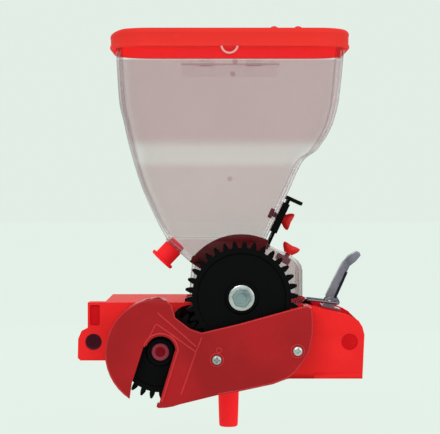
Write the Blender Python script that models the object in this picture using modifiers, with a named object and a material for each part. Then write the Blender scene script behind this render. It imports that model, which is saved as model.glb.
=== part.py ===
"""Seed drill metering unit: clear hopper on a geared metering chamber, carried in a red frame.

X runs to the right and Z up as the gear side is faced, Y runs from the gear side to the mounting
side. Y = 0 is the outer face of the rear side plate, Z = 0 the line of the two fixing holes and
X = 0 the metering shaft. Dimensions are in millimetres and are turned into metres by MM.
"""

import math

import bmesh
import bpy
from mathutils import Matrix, Vector

# --------------------------------------------------------------------------- driving dimensions

MM = 0.001
GAP = 0.3                       # left between touching pieces

FRAME_DEPTH = 124.0             # over both side plates
PLATE = 4.0                     # side plate thickness
HOLE_LEFT_X = -142.0            # fixing holes
HOLE_RIGHT_X = 104.0
HOLE_R = 8.0
FRAME_TOP = 38.0
FRAME_BOTTOM = -35.3

MODULE = 3.0                    # gear tooth module
GEAR_TEETH = 34
PINION_TEETH = 28
PRESSURE = math.radians(20.0)
BACKLASH = 0.6
SHAFT_Z = 43.5                  # metering shaft height
PINION_DIR = math.radians(213.78)
GEAR_FRONT = -FRAME_DEPTH - 16.0  # front face of both gears
GEAR_WIDTH = 10.0

GUARD_FRONT = GEAR_FRONT - 9.0
GUARD_SKIN = 3.0
GUARD_ROOM = 7.0                # guard lobe's radius over the pinion's teeth

CHAMBER_FRONT = -FRAME_DEPTH + 7.0
CHAMBER_REAR = -20.0
WALL = 3.0
ROLLER_R = 38.0

NECK_Z = 99.0                   # hopper stands on the chamber here
RIM_Z = 292.0
HOPPER_WALL = 2.6
LID_BOTTOM = RIM_Z - 11.0
LID_TOP = RIM_Z + 7.0
LID_BOX = (-126.4, 103.4, -154.5, -10.5)

GATE_ORIGIN = (34.67, 121.0)    # on the hopper's sloping right wall, in X and Z
GATE_ANGLE = math.radians(24.82)
GATE_Y = -78.0
GATE_WIDTH = 40.0

LATCH_PIVOT = (87.2, 36.2)
LATCH_Y = -76.0
BAIL_PIVOT = (95.2, 34.9)
BAIL_BAR = (64.3, 38.0)

HINGE_Y = -5.0                  # lid hinge axis
HINGE_Z = RIM_Z - 16.0

SPOUT_X = -12.0
SPOUT_Y = -62.0
SPOUT_BOTTOM = -90.0

SHAFT_BORE = 6.3                # bore of the gear and the roller on the shaft
SLEEVE_R = 8.2                  # drive sleeve in the pinion
SLEEVE_BORE = 5.0

PITCH_GEAR = MODULE * GEAR_TEETH / 2.0
PITCH_PINION = MODULE * PINION_TEETH / 2.0
CENTRES = PITCH_GEAR + PITCH_PINION
TIP_GEAR = PITCH_GEAR + MODULE
TIP_PINION = PITCH_PINION + MODULE
GUARD_R = TIP_PINION + GUARD_ROOM
PINION_X = CENTRES * math.cos(PINION_DIR)
PINION_Z = SHAFT_Z + CENTRES * math.sin(PINION_DIR)
SCREW_LEFT = (-23.5 * (TIP_GEAR + 8.858) / 62.858,       # guard screws, clear of the gear
              SHAFT_Z - 58.3 * (TIP_GEAR + 8.858) / 62.858)
SCREW_RIGHT = (53.0 * (TIP_GEAR + 18.788) / 72.788,
               SHAFT_Z - 49.8 * (TIP_GEAR + 18.788) / 72.788)

# --------------------------------------------------------------------------- scene and materials

for old in list(bpy.data.objects):
    bpy.data.objects.remove(old, do_unlink=True)

PARTS = bpy.data.collections.new("Seed metering unit")
TOOLS = bpy.data.collections.new("Cutters")
bpy.context.scene.collection.children.link(PARTS)
bpy.context.scene.collection.children.link(TOOLS)


def material(name, colour, roughness, metallic=0.0, alpha=1.0):
    """A Principled material of one colour."""
    mat = bpy.data.materials.new(name)
    mat.use_nodes = True
    node = mat.node_tree.nodes["Principled BSDF"]
    node.inputs["Base Color"].default_value = (*colour, 1.0)
    node.inputs["Roughness"].default_value = roughness
    node.inputs["Metallic"].default_value = metallic
    node.inputs["Alpha"].default_value = alpha
    return mat


FRAME_RED = material("frame_red", (0.76, 0.03, 0.03), 0.42)
LID_RED = material("lid_red", (0.80, 0.045, 0.035), 0.35)
GUARD_RED = material("guard_red", (0.36, 0.022, 0.03), 0.45)
COVER_RED = material("cover_red", (0.13, 0.0, 0.008), 0.5)
CLEAR = material("clear_plastic", (0.50, 0.42, 0.42), 0.18, alpha=0.4)
BLACK = material("black_nylon", (0.012, 0.012, 0.013), 0.5)
SLEEVE_PINK = material("sleeve", (0.72, 0.25, 0.25), 0.45)
ZINC = material("zinc_plate", (0.60, 0.65, 0.68), 0.32, 1.0)
STEEL = material("latch_steel", (0.24, 0.24, 0.29), 0.38, 1.0)
BRISTLE = material("bristle", (0.16, 0.15, 0.14), 0.8)
ROLLER_GREY = material("roller", (0.09, 0.09, 0.095), 0.5)


def add(name, mesh, mat, matrix=None, tool=False):
    """Links a mesh as a part, or as a helper of a Boolean."""
    obj = bpy.data.objects.new(name, mesh)
    (TOOLS if tool else PARTS).objects.link(obj)
    if matrix is not None:
        obj.matrix_world = matrix
    if mat is not None:
        mesh.materials.append(mat)
    if tool:
        obj.hide_render = True
        obj.display_type = "WIRE"
    return obj


def smooth(mesh, degrees=32.0):
    mesh.shade_smooth()
    mesh.set_sharp_from_angle(angle=math.radians(degrees))


# --------------------------------------------------------------------------- shape helpers

def box(name, x, y, z, mat=None, tool=False, frame=None):
    """A box between the limits given in x, y and z, in the frame's axes."""
    mesh = bpy.data.meshes.new(name)
    bm = bmesh.new()
    size = Matrix.Diagonal(((x[1] - x[0]) * MM, (y[1] - y[0]) * MM, (z[1] - z[0]) * MM, 1.0))
    bmesh.ops.create_cube(bm, size=1.0, matrix=size)
    bm.to_mesh(mesh)
    bm.free()
    centre = Vector(((x[0] + x[1]) / 2, (y[0] + y[1]) / 2, (z[0] + z[1]) / 2)) * MM
    return add(name, mesh, mat, (frame or Matrix()) @ Matrix.Translation(centre), tool)


def rod(name, start, end, radius, mat=None, tool=False, sides=32, radius2=None, frame=None):
    """A cylinder or cone from start to end."""
    a, b = Vector(start) * MM, Vector(end) * MM
    mesh = bpy.data.meshes.new(name)
    bm = bmesh.new()
    bmesh.ops.create_cone(bm, cap_ends=True, segments=sides, radius1=radius * MM,
                          radius2=(radius if radius2 is None else radius2) * MM,
                          depth=(b - a).length)
    bm.to_mesh(mesh)
    bm.free()
    smooth(mesh)
    turn = Vector((0, 0, 1)).rotation_difference(b - a).to_matrix().to_4x4()
    return add(name, mesh, mat, (frame or Matrix()) @ Matrix.Translation((a + b) / 2) @ turn, tool)


def turned(name, profile, base, axis, mat=None, tool=False, sides=40, frame=None):
    """A profile of (radius, height) pairs, from the top of the axis out and down, turned round."""
    mesh = bpy.data.meshes.new(name)
    bm = bmesh.new()
    verts = [bm.verts.new((r * MM, 0.0, h * MM)) for r, h in profile]
    closed = profile[0][0] > 0.0
    pairs = list(zip(verts, verts[1:])) + ([(verts[-1], verts[0])] if closed else [])
    for a, b in pairs:
        bm.edges.new((a, b))
    bm.to_mesh(mesh)
    bm.free()
    turn = Vector((0, 0, 1)).rotation_difference(Vector(axis)).to_matrix().to_4x4()
    obj = add(name, mesh, mat, (frame or Matrix()) @ Matrix.Translation(Vector(base) * MM) @ turn,
              tool)
    screw = obj.modifiers.new("Turn", "SCREW")
    screw.steps = screw.render_steps = sides
    screw.use_merge_vertices = True
    screw.merge_threshold = 0.00001
    screw.use_smooth_shade = False
    return obj


def flat(name, outline, y, mat=None, tool=False, holes=(), frame=None):
    """A flat outline in X and Z, as a 2D curve extruded between two Y values, made a mesh."""
    curve = bpy.data.curves.new(name, "CURVE")
    curve.dimensions = "2D"
    curve.fill_mode = "BOTH"
    curve.extrude = abs(y[1] - y[0]) / 2.0 * MM
    for loop in (outline, *holes):
        spline = curve.splines.new("POLY")
        spline.points.add(len(loop) - 1)
        for point, (px, pz) in zip(spline.points, loop):
            point.co = (px * MM, pz * MM, 0.0, 1.0)
        spline.use_cyclic_u = True
    guide = bpy.data.objects.new(name + "_outline", curve)
    TOOLS.objects.link(guide)
    guide.matrix_world = ((frame or Matrix()) @ Matrix.Translation((0, (y[0] + y[1]) / 2 * MM, 0))
                          @ Matrix.Rotation(math.pi / 2, 4, "X"))
    bpy.context.view_layer.update()
    graph = bpy.context.evaluated_depsgraph_get()
    mesh = bpy.data.meshes.new_from_object(guide.evaluated_get(graph))
    bm = bmesh.new()
    bm.from_mesh(mesh)
    bmesh.ops.remove_doubles(bm, verts=bm.verts, dist=0.000001)
    bmesh.ops.recalc_face_normals(bm, faces=bm.faces)
    bm.to_mesh(mesh)
    bm.free()
    mesh.name = name
    obj = add(name, mesh, mat, guide.matrix_world.copy(), tool)
    bpy.data.objects.remove(guide, do_unlink=True)
    bpy.data.curves.remove(curve)
    return obj


def loft(name, rings, mat, capped):
    """Faces between rings of equal length: capped at both ends, or closed on themselves."""
    mesh = bpy.data.meshes.new(name)
    bm = bmesh.new()
    loops = [[bm.verts.new(Vector(p) * MM) for p in ring] for ring in rings]
    pairs = list(zip(loops, loops[1:]))
    if capped:
        bm.faces.new(loops[0])
        bm.faces.new(loops[-1])
    else:
        pairs.append((loops[-1], loops[0]))
    for low, high in pairs:
        for i in range(len(low)):
            j = (i + 1) % len(low)
            bm.faces.new((low[i], low[j], high[j], high[i]))
    bmesh.ops.recalc_face_normals(bm, faces=bm.faces)
    bm.to_mesh(mesh)
    bm.free()
    smooth(mesh)
    return add(name, mesh, mat)


def combine(obj, other, operation):
    """A live Boolean with a helper object."""
    mod = obj.modifiers.new(operation.title(), "BOOLEAN")
    mod.operation = operation
    mod.solver = "EXACT"
    mod.object = other
    return obj


def cut(obj, *others):
    for other in others:
        combine(obj, other, "DIFFERENCE")
    return obj


def join(obj, *others):
    for other in others:
        combine(obj, other, "UNION")
    return obj


def bevel(obj, width, segments=2, angle=40.0):
    mod = obj.modifiers.new("Bevel", "BEVEL")
    mod.width = width * MM
    mod.segments = segments
    mod.limit_method = "ANGLE"
    mod.angle_limit = math.radians(angle)
    mod.use_clamp_overlap = True
    return obj


def arc(cx, cz, radius, start, end, steps):
    """Points of an arc in X and Z, angles in degrees."""
    return [(cx + radius * math.cos(math.radians(start + (end - start) * i / steps)),
             cz + radius * math.sin(math.radians(start + (end - start) * i / steps)))
            for i in range(steps + 1)]


def circle(cx, cz, radius, steps=32):
    return arc(cx, cz, radius, 0.0, 360.0, steps)[:-1]


def rounded(x0, x1, y0, y1, left_r, right_r, z, steps=6):
    """A rounded rectangle at height z, its left corners and right corners of their own radius."""
    points = []
    corners = ((x1 - right_r, y1 - right_r, right_r, 0), (x0 + left_r, y1 - left_r, left_r, 90),
               (x0 + left_r, y0 + left_r, left_r, 180), (x1 - right_r, y0 + right_r, right_r, 270))
    for cx, cy, r, start in corners:
        points += [(x, y, z) for x, y in arc(cx, cy, r, start, start + 90, steps)]
    return points


def on_axis(name, x, y, z):
    """An empty on a joint's axis, which carries the moving pieces."""
    empty = bpy.data.objects.new(name, None)
    empty.location = (x * MM, y * MM, z * MM)
    empty.empty_display_size = 0.01
    PARTS.objects.link(empty)
    bpy.context.view_layer.update()
    return empty


def carry(empty, *objects):
    bpy.context.view_layer.update()
    for obj in objects:
        keep = obj.matrix_world.copy()
        obj.parent = empty
        obj.matrix_parent_inverse = empty.matrix_world.inverted()
        obj.matrix_world = keep


def inset(outline, amount):
    """The outline moved inward by amount along its mitred corners; counter-clockwise points."""
    result = []
    count = len(outline)
    for i in range(count):
        a, b, c = outline[i - 1], outline[i], outline[(i + 1) % count]
        d1 = Vector((b[0] - a[0], b[1] - a[1])).normalized()
        d2 = Vector((c[0] - b[0], c[1] - b[1])).normalized()
        n1, n2 = Vector((-d1.y, d1.x)), Vector((-d2.y, d2.x))
        mid = (n1 + n2).normalized()
        reach = amount / max(0.35, mid.dot(n1))
        result.append((b[0] + mid.x * reach, b[1] + mid.y * reach))
    return result


def gear_outline(teeth, centre, tooth_at):
    """Involute spur gear outline, one tooth centred on the angle tooth_at."""
    pitch = MODULE * teeth / 2.0
    base = pitch * math.cos(PRESSURE)
    tip, root = pitch + MODULE, pitch - 1.25 * MODULE

    def involute(angle):
        return math.tan(angle) - angle

    def half(radius):
        spread = math.pi / (2.0 * teeth) - BACKLASH / 2.0 / pitch + involute(PRESSURE)
        return spread - involute(math.acos(min(1.0, base / max(base, radius))))

    steps = [(root, half(base) + 0.004), (base + 0.4, half(base + 0.4)),
             (pitch + 1.0, half(pitch + 1.0)), (tip, half(tip))]
    flank = [(r, -a) for r, a in steps] + [(r, a) for r, a in reversed(steps)]
    points = []
    for k in range(teeth):
        middle = tooth_at + 2.0 * math.pi * k / teeth
        points += [(centre[0] + r * math.cos(middle + a), centre[1] + r * math.sin(middle + a))
                   for r, a in flank]
    return points


# --------------------------------------------------------------------------- carrier frame

FRONT_IN = -FRAME_DEPTH + PLATE + GAP      # inner limits between the side plates
REAR_IN = -PLATE - GAP


def side_outline(cradle_r, block_left):
    """The side plate seen from the gear side, with a cradle for a bearing cover."""
    right_top = [(116.4, FRAME_BOTTOM), (118.3, 6.9), (116.6, 14.1), (112.8, 20.3), (107.0, 23.7),
                 (99.4, 27.0), (77.3, 32.0), (62.9, 36.6)]
    start = math.degrees(math.asin((36.6 - SHAFT_Z) / cradle_r))
    end = math.degrees(math.asin((FRAME_TOP - SHAFT_Z) / cradle_r))
    cradle = arc(0.0, SHAFT_Z, cradle_r, start, -180.0 - end, 20)
    left = [(block_left, FRAME_TOP), (block_left, 13.6), (-147.6, 13.6), (-153.6, 10.6),
            (-156.8, 3.0), (-157.2, -15.3), (-154.7, -17.8), (-130.0, -17.8),
            (-112.0, FRAME_BOTTOM)]
    if block_left == -147.6:
        left.pop(1)
    return right_top + cradle + left


front_plate = flat("frame_front_plate", side_outline(46.0, -147.6),
                   (-FRAME_DEPTH, -FRAME_DEPTH + PLATE), FRAME_RED,
                   holes=[circle(HOLE_LEFT_X, 0.0, HOLE_R),
                          circle(PINION_X, PINION_Z, SLEEVE_R + 0.8, 28),
                          circle(*SCREW_LEFT, 2.3, 12),
                          circle(*SCREW_RIGHT, 2.3, 12)])
recess = box("recess_cut", (-145.4, -136.0), (-FRAME_DEPTH - 1.0, -FRAME_DEPTH + 2.0),
             (15.8, 35.5), tool=True)
rib = box("rib_add", (70.0, 116.0), (-FRAME_DEPTH - 1.4, -FRAME_DEPTH + 0.5),
          (FRAME_BOTTOM + 0.2, -30.0), tool=True)
blind = rod("blind_end", (HOLE_RIGHT_X, -FRAME_DEPTH - 1.0, 0.0),
            (HOLE_RIGHT_X, -FRAME_DEPTH + 1.0, 0.0), HOLE_R, tool=True)
join(cut(front_plate, recess, blind), rib)

rear_plate = flat("frame_rear_plate", side_outline(31.0, -132.0), (-PLATE, 0.0), FRAME_RED,
                  holes=[circle(HOLE_RIGHT_X, 0.0, HOLE_R)])

deck_outline = [(-131.7, 13.0), (-128.7, 13.0), (-128.7, FRAME_TOP - 3.0),
                (-57.0, FRAME_TOP - 3.0), (-57.0, -29.7), (-54.5, -29.7), (-54.5, FRAME_TOP),
                (-131.7, FRAME_TOP)]
deck = flat("frame_deck", deck_outline, (FRONT_IN, REAR_IN), FRAME_RED)

corner = box("frame_corner_block", (-147.6, -132.0), (FRONT_IN, FRONT_IN + 17.7), (15.0, FRAME_TOP - 0.2),
             FRAME_RED)
cut(corner, box("corner_cut", (-145.2, -134.4), (FRONT_IN + 2.4, FRONT_IN + 18.7), (12.0, 35.4),
                tool=True))

bridge_outline = [(70.0, -29.7), (72.6, -29.7), (72.6, 29.9), (77.3, 28.9), (99.0, 24.0),
                  (105.6, 21.2), (110.8, 18.2), (114.2, 13.2), (116.0, 6.5), (114.4, -29.7),
                  (116.2, -29.7), (118.0, 6.9), (116.4, 13.9), (112.6, 20.1), (106.8, 23.5),
                  (99.4, 26.8), (77.3, 31.8), (70.0, 34.2)]
bridge = flat("frame_bridge", bridge_outline, (FRONT_IN, REAR_IN), FRAME_RED)

floor = box("frame_floor", (-57.0, 116.0), (FRONT_IN, REAR_IN), (-33.0, -30.0), FRAME_RED)
cut(floor, box("floor_cut", (-36.0, 55.0), (CHAMBER_FRONT + 4, CHAMBER_REAR - 4), (-40.0, -20.0),
               tool=True))

# the left tube opens to the front, the right one to the rear
for name, hole_x, wall in (("fixing_tube_left", HOLE_LEFT_X, 4.0),
                           ("fixing_tube_right", HOLE_RIGHT_X, 3.0)):
    depth, outer = REAR_IN - FRONT_IN, HOLE_R + wall
    turned(name, [(HOLE_R, depth), (outer, depth), (outer, 0.0), (HOLE_R, 0.0)],
           (hole_x, FRONT_IN, 0.0), (0, 1, 0), FRAME_RED, sides=32)

# --------------------------------------------------------------------------- outlet funnel

def ring_to_round(z, mix, radius, grow=0.0):
    """A ring between the chamber's rectangle (mix 0) and a circle on the spout's axis (mix 1)."""
    points = []
    for i in range(24):
        turn = 2.0 * math.pi * (i + 0.5) / 24
        c, s = math.cos(turn), math.sin(turn)
        scale = 1.0 / max(abs(c), abs(s))
        deep = (CHAMBER_REAR - CHAMBER_FRONT) / 2.0 - 2.5
        rect = (9.5 + (49.0 - grow) * c * scale,
                (CHAMBER_FRONT + CHAMBER_REAR) / 2.0 + (deep - grow) * s * scale)
        disc = (SPOUT_X + radius * c, SPOUT_Y + radius * s)
        points.append((rect[0] * (1 - mix) + disc[0] * mix, rect[1] * (1 - mix) + disc[1] * mix, z))
    return points


funnel = loft("outlet_funnel",
              [ring_to_round(-33.3, 0.0, 11.0), ring_to_round(-35.6, 0.0, 11.0),
               ring_to_round(-46.0, 0.72, 11.0), ring_to_round(-54.0, 1.0, 10.6),
               ring_to_round(SPOUT_BOTTOM + 2.0, 1.0, 9.3), ring_to_round(SPOUT_BOTTOM, 1.0, 7.9),
               ring_to_round(SPOUT_BOTTOM, 1.0, 6.4), ring_to_round(-53.0, 1.0, 7.8, 2.5),
               ring_to_round(-44.4, 0.72, 8.0, 2.5), ring_to_round(-33.3, 0.0, 8.0, 2.5)],
              FRAME_RED, capped=False)

# --------------------------------------------------------------------------- metering rotor

driven_gear = flat("driven_gear", gear_outline(GEAR_TEETH, (0.0, SHAFT_Z), PINION_DIR),
                   (GEAR_FRONT, GEAR_FRONT + GEAR_WIDTH), BLACK,
                   holes=[circle(0.0, SHAFT_Z, SHAFT_BORE, 24)])
SHAFT_FRONT = GEAR_FRONT + 0.4
SHAFT_LONG = -2.0 - SHAFT_FRONT
SHAFT_R = 6.0
COLLAR = GEAR_WIDTH + 0.2         # the gear bears on a collar behind it, clear of the cover
COLLAR_END = CHAMBER_FRONT - GAP - 7.9 - SHAFT_FRONT
meter_shaft = turned("meter_shaft",
                     [(0.0, SHAFT_LONG), (SHAFT_R, SHAFT_LONG), (SHAFT_R, COLLAR_END),
                      (SHAFT_R + 3.5, COLLAR_END), (SHAFT_R + 3.5, COLLAR), (SHAFT_R, COLLAR),
                      (SHAFT_R, 0.0), (4.3, 0.0), (4.3, 18.0), (0.0, 18.0)],
                     (0.0, SHAFT_FRONT, SHAFT_Z), (0, 1, 0), ZINC, sides=24)
washer = turned("gear_washer", [(4.3, 1.8), (12.3, 1.8), (12.3, 0.0), (4.3, 0.0)],
                (0.0, GEAR_FRONT - GAP - 1.8, SHAFT_Z), (0, 1, 0), ZINC, sides=32)
bolt = rod("gear_bolt", (0.0, GEAR_FRONT - 9.0, SHAFT_Z), (0.0, GEAR_FRONT - 2.4, SHAFT_Z), 9.8,
           ZINC, sides=6)
join(bolt, rod("bolt_shank", (0.0, GEAR_FRONT - 3.0, SHAFT_Z), (0.0, GEAR_FRONT + 16.0, SHAFT_Z),
               4.0, tool=True, sides=20))

flutes = 12
roller_points = []
for k in range(flutes):
    middle = 360.0 * k / flutes
    roller_points += arc(0.0, SHAFT_Z, ROLLER_R, middle - 9.0, middle + 9.0, 3)
    roller_points += arc(0.0, SHAFT_Z, ROLLER_R - 5.0, middle + 12.0, middle + 18.0, 2)
roller = flat("metering_roller", roller_points, (CHAMBER_FRONT + 9.0, CHAMBER_REAR - 9.0),
              ROLLER_GREY, holes=[circle(0.0, SHAFT_Z, SHAFT_BORE, 24)])

# --------------------------------------------------------------------------- drive pinion

pinion = flat("drive_pinion", gear_outline(PINION_TEETH, (PINION_X, PINION_Z),
                                           PINION_DIR + math.pi + math.pi / PINION_TEETH),
              (GEAR_FRONT, GEAR_FRONT + GEAR_WIDTH), BLACK,
              holes=[circle(PINION_X, PINION_Z, SLEEVE_R + 0.4, 32)])
sleeve = turned("pinion_sleeve",
                [(SLEEVE_BORE, 24.0), (SLEEVE_R + 4.0, 24.0), (SLEEVE_R + 4.0, 21.5),
                 (SLEEVE_R, 21.5), (SLEEVE_R, 0.0), (SLEEVE_BORE, 0.0)],
                (PINION_X, GEAR_FRONT + 1.0, PINION_Z), (0, 1, 0), SLEEVE_PINK, sides=32)

# --------------------------------------------------------------------------- gear guard

lobe = arc(PINION_X, PINION_Z, GUARD_R, 92.0, 269.0, 22)
guard_outline = (lobe + arc(PINION_X, PINION_Z, GUARD_R, 276.0, 291.0, 2)
                 + [(-22.4, -47.8), (-2.6, -44.5), (29.5, -37.6), (43.6, -32.3), (51.5, -26.0),
                    (57.5, -18.0), (64.4, -6.3), (67.5, 10.2), (67.5, 25.0), (66.4, 34.0),
                    (62.1, 36.6), (50.0, 34.0), (-4.1, 19.0), (-37.8, 11.1), (-48.8, 14.9),
                    (-62.9, 25.2), (-66.0, 36.7), (-71.0, 41.2)])
guard = flat("gear_guard", guard_outline, (GUARD_FRONT, -FRAME_DEPTH - GAP), GUARD_RED)
slot = ([(PINION_X - 31.7, PINION_Z - 63.78), (PINION_X - 26.7, PINION_Z - 28.78),
         (PINION_X - 13.9, PINION_Z + 11.22)]
        + arc(PINION_X + 0.7, PINION_Z + 2.0, 14.2, 162.0, 0.0, 10)
        + [(PINION_X + 14.2, PINION_Z + 2.22), (PINION_X - 2.2, PINION_Z - 52.28),
           (PINION_X - 5.2, PINION_Z - 63.78)])
inside_guard = inset(guard_outline, 2.0)
guard_y = (GUARD_FRONT + GUARD_SKIN, -FRAME_DEPTH + 2.0)
cut(guard,
    flat("guard_inside", inside_guard, guard_y, tool=True),
    flat("guard_slot", slot, (GUARD_FRONT - 1.0, GUARD_FRONT + GUARD_SKIN + 1.0), tool=True),
    rod("guard_gear_room", (0.0, guard_y[0], SHAFT_Z), (0.0, guard_y[1], SHAFT_Z),
        TIP_GEAR + 5.5, tool=True, sides=48),
    rod("guard_pinion_room", (PINION_X, guard_y[0], PINION_Z), (PINION_X, guard_y[1], PINION_Z),
        TIP_PINION + 5.0, tool=True, sides=48),
    box("guard_open_foot", (PINION_X - 30.7, PINION_X - 3.2), (guard_y[0], guard_y[1]),
        (PINION_Z - 57.8, PINION_Z - 31.8), tool=True))
for name, (x, z), r in (("guard_screw_left", SCREW_LEFT, 3.6),
                        ("guard_screw_right", SCREW_RIGHT, 4.6)):
    screw_long = GAP - GUARD_FRONT - FRAME_DEPTH + 2.2
    join(guard, rod(name + "_boss", (x, GUARD_FRONT + 2.0, z), (x, -FRAME_DEPTH - GAP, z), r,
                    tool=True, sides=20))
    cut(guard, rod(name + "_hole", (x, GUARD_FRONT - 11.0, z), (x, -FRAME_DEPTH + 14.0, z), 2.3,
                   tool=True, sides=12))
    screw = turned(name, [(0.0, 2.2), (2.6, 1.9), (4.6, 0.6), (4.6, 0.0), (2.0, 0.0),
                          (2.0, -screw_long), (0.0, -screw_long)],
                   (x, GUARD_FRONT - GAP, z), (0, -1, 0),
                   ZINC, sides=20)

# --------------------------------------------------------------------------- metering chamber

DRAIN_FACE = ((-72.9, 98.7), (-53.0, 79.7))
drain_dir = Vector((-0.6906, 0.0, -0.7233)).normalized()
drain_at = Vector((-64.8, -68.0, 90.9))
SHOULDER = ((26.0, 93.6), (51.0, 80.6))

chamber_outline = ([(-40.0, -29.7), (59.0, -29.7), (59.0, 68.0), (58.0, 73.0), (55.0, 77.6),
                    SHOULDER[1], SHOULDER[0], (24.6, 95.5), (24.5, 98.7), DRAIN_FACE[0],
                    DRAIN_FACE[1], (-47.5, 75.0), (-49.3, 60.0), (-50.0, 43.5), (-48.8, 28.0),
                    (-44.5, 10.0), (-40.0, -8.0)])
chamber = flat("metering_chamber", chamber_outline, (CHAMBER_FRONT, CHAMBER_REAR), CLEAR)
inner = inset(chamber_outline, WALL)
inner[0], inner[1] = (inner[0][0], -40.0), (inner[1][0], -40.0)
inner[8], inner[9] = (21.5, 110.0), (-68.5, 110.0)
inner.insert(10, (-68.5, 97.0))
neck_ring = rod("neck_ring", drain_at - drain_dir * 0.5, drain_at + drain_dir * 2.5, 10.6,
                tool=True)
join(chamber, neck_ring)
cut(chamber,
    flat("chamber_inside", inner, (CHAMBER_FRONT + WALL, CHAMBER_REAR - WALL), tool=True),
    rod("drain_bore", drain_at - drain_dir * 12, drain_at + drain_dir * 12, 8.5, tool=True),
    rod("front_bore", (0, CHAMBER_FRONT - 8.0, SHAFT_Z), (0, CHAMBER_FRONT + 7.0, SHAFT_Z), 43.0,
        tool=True, sides=48),
    rod("rear_bore", (0, CHAMBER_REAR - 10.0, SHAFT_Z), (0, CHAMBER_REAR + 10.0, SHAFT_Z), 12.0,
        tool=True, sides=24))

front_cover_y = CHAMBER_FRONT - GAP - 7.0
COVER_BORE = SHAFT_R + 0.6
front_cover = turned("front_cover", [(COVER_BORE, 7.0), (45.0, 7.0), (45.0, 0.0), (COVER_BORE, 0.0)],
                     (0.0, front_cover_y, SHAFT_Z), (0, 1, 0), COVER_RED, sides=44)
flange = (arc(0.0, SHAFT_Z, 60.0, 146.0, 64.0, 18) + arc(0.0, SHAFT_Z, 40.0, 64.0, 146.0, 14))
join(front_cover, flat("cover_flange", flange, (CHAMBER_FRONT - 3.0, CHAMBER_FRONT - GAP),
                       tool=True),
     rod("cover_lug", (-44.4, CHAMBER_FRONT - 5.5, 79.6), (-44.4, CHAMBER_FRONT - GAP, 79.6), 3.6, tool=True,
         sides=20),
     rod("cover_screw", (11.2, CHAMBER_FRONT - 4.2, 98.6), (11.2, CHAMBER_FRONT - 2.0, 98.6), 2.0,
         tool=True, sides=16))

COVER_LONG = -1.0 - CHAMBER_REAR - GAP
rear_cover = turned("rear_cover", [(COVER_BORE, COVER_LONG), (30.0, COVER_LONG), (30.0, 4.0),
                                   (44.0, 4.0), (44.0, 0.0), (COVER_BORE, 0.0)],
                    (0.0, CHAMBER_REAR + GAP, SHAFT_Z), (0, 1, 0), COVER_RED, sides=36)

# --------------------------------------------------------------------------- hopper

# height, left, right, front, rear, left corner radius, right corner radius
HOPPER = [(NECK_Z, -72.9, 24.50, -113.5, -20.5, 16, 8), (111, -79.8, 30.05, -119, -21.0, 26, 12),
          (125, -86.5, 36.53, -126, -21.2, 32, 14), (149, -97.0, 47.63, -134, -21.6, 38, 18),
          (171, -104.3, 57.8, -138.5, -22.0, 42, 22), (177, -106.0, 62.5, -139.5, -22.0, 43, 22),
          (183, -107.6, 71.5, -143, -19.5, 44, 26), (189, -109.1, 76.3, -146, -17.0, 45, 28),
          (198, -111.2, 82.5, -147, -16.0, 45, 28), (212, -114.2, 89.0, -147.5, -16.0, 45, 28),
          (232, -118.5, 94.2, -148, -15.5, 45, 30), (RIM_Z, -122.0, 100.0, -149, -15.0, 45, 30)]


def hopper_ring(row, wall):
    z, x0, x1, y0, y1, left_r, right_r = row
    return rounded(x0 + wall, x1 - wall, y0 + wall, y1 - wall, left_r - wall, right_r - wall, z, 5)


hopper = loft("hopper", [hopper_ring(row, 0.0) for row in HOPPER]
              + [hopper_ring(row, HOPPER_WALL) for row in reversed(HOPPER)], CLEAR, capped=False)

# --------------------------------------------------------------------------- seed gate

GATE = (Matrix.Translation((GATE_ORIGIN[0] * MM, GATE_Y * MM, GATE_ORIGIN[1] * MM))
        @ Matrix.Rotation(GATE_ANGLE, 4, "Y"))
half_gate = GATE_WIDTH / 2.0
cut(hopper, rod("gate_stud_hole", (-12, 0, 0), (12, 0, 0), 2.9, tool=True, sides=20, frame=GATE))

guide = box("gate_guide", (0.5, 7.2), (-half_gate - 5.0, half_gate + 5.0), (-16.0, 15.0), CLEAR,
            frame=GATE)
cut(guide, box("guide_channel", (2.8, 9.0), (-half_gate - 0.7, half_gate + 0.7), (-20.0, 20.0),
               tool=True, frame=GATE),
    rod("guide_hole", (-3, 0, 0), (9, 0, 0), 2.9, tool=True, sides=20, frame=GATE))
gate = box("seed_gate", (3.5, 6.0), (-half_gate, half_gate), (-34.0, 20.0), BLACK, frame=GATE)
join(gate, box("gate_handle", (1.4, 18.2), (-half_gate, half_gate), (19.0, 22.4), tool=True,
               frame=GATE))
gate_slot = [(x, z) for x, z in arc(0, 0, 3.4, 0, 180, 8)]
gate_slot += [(x, z - 23.0) for x, z in arc(0, 0, 3.4, 180, 360, 8)]
across = GATE @ Matrix.Translation((4.75 * MM, 0, 0)) @ Matrix.Rotation(math.pi / 2, 4, "Z")
cut(gate, flat("gate_slot_cut", gate_slot, (-4.0, 4.0), tool=True, frame=across))

stud = rod("gate_stud", (-7.0, 0, 0), (-3.0, 0, 0), 5.0, BLACK, sides=20, frame=GATE)
join(stud, rod("stud_shank", (-4.0, 0, 0), (16.0, 0, 0), 2.5, tool=True, sides=20, frame=GATE))

# the blade passes through a slot in the chamber's shoulder
cut(chamber, box("blade_slot", (2.6, 6.9), (-half_gate - 0.8, half_gate + 0.8), (-45.0, -20.0),
                 tool=True, frame=GATE))


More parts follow.
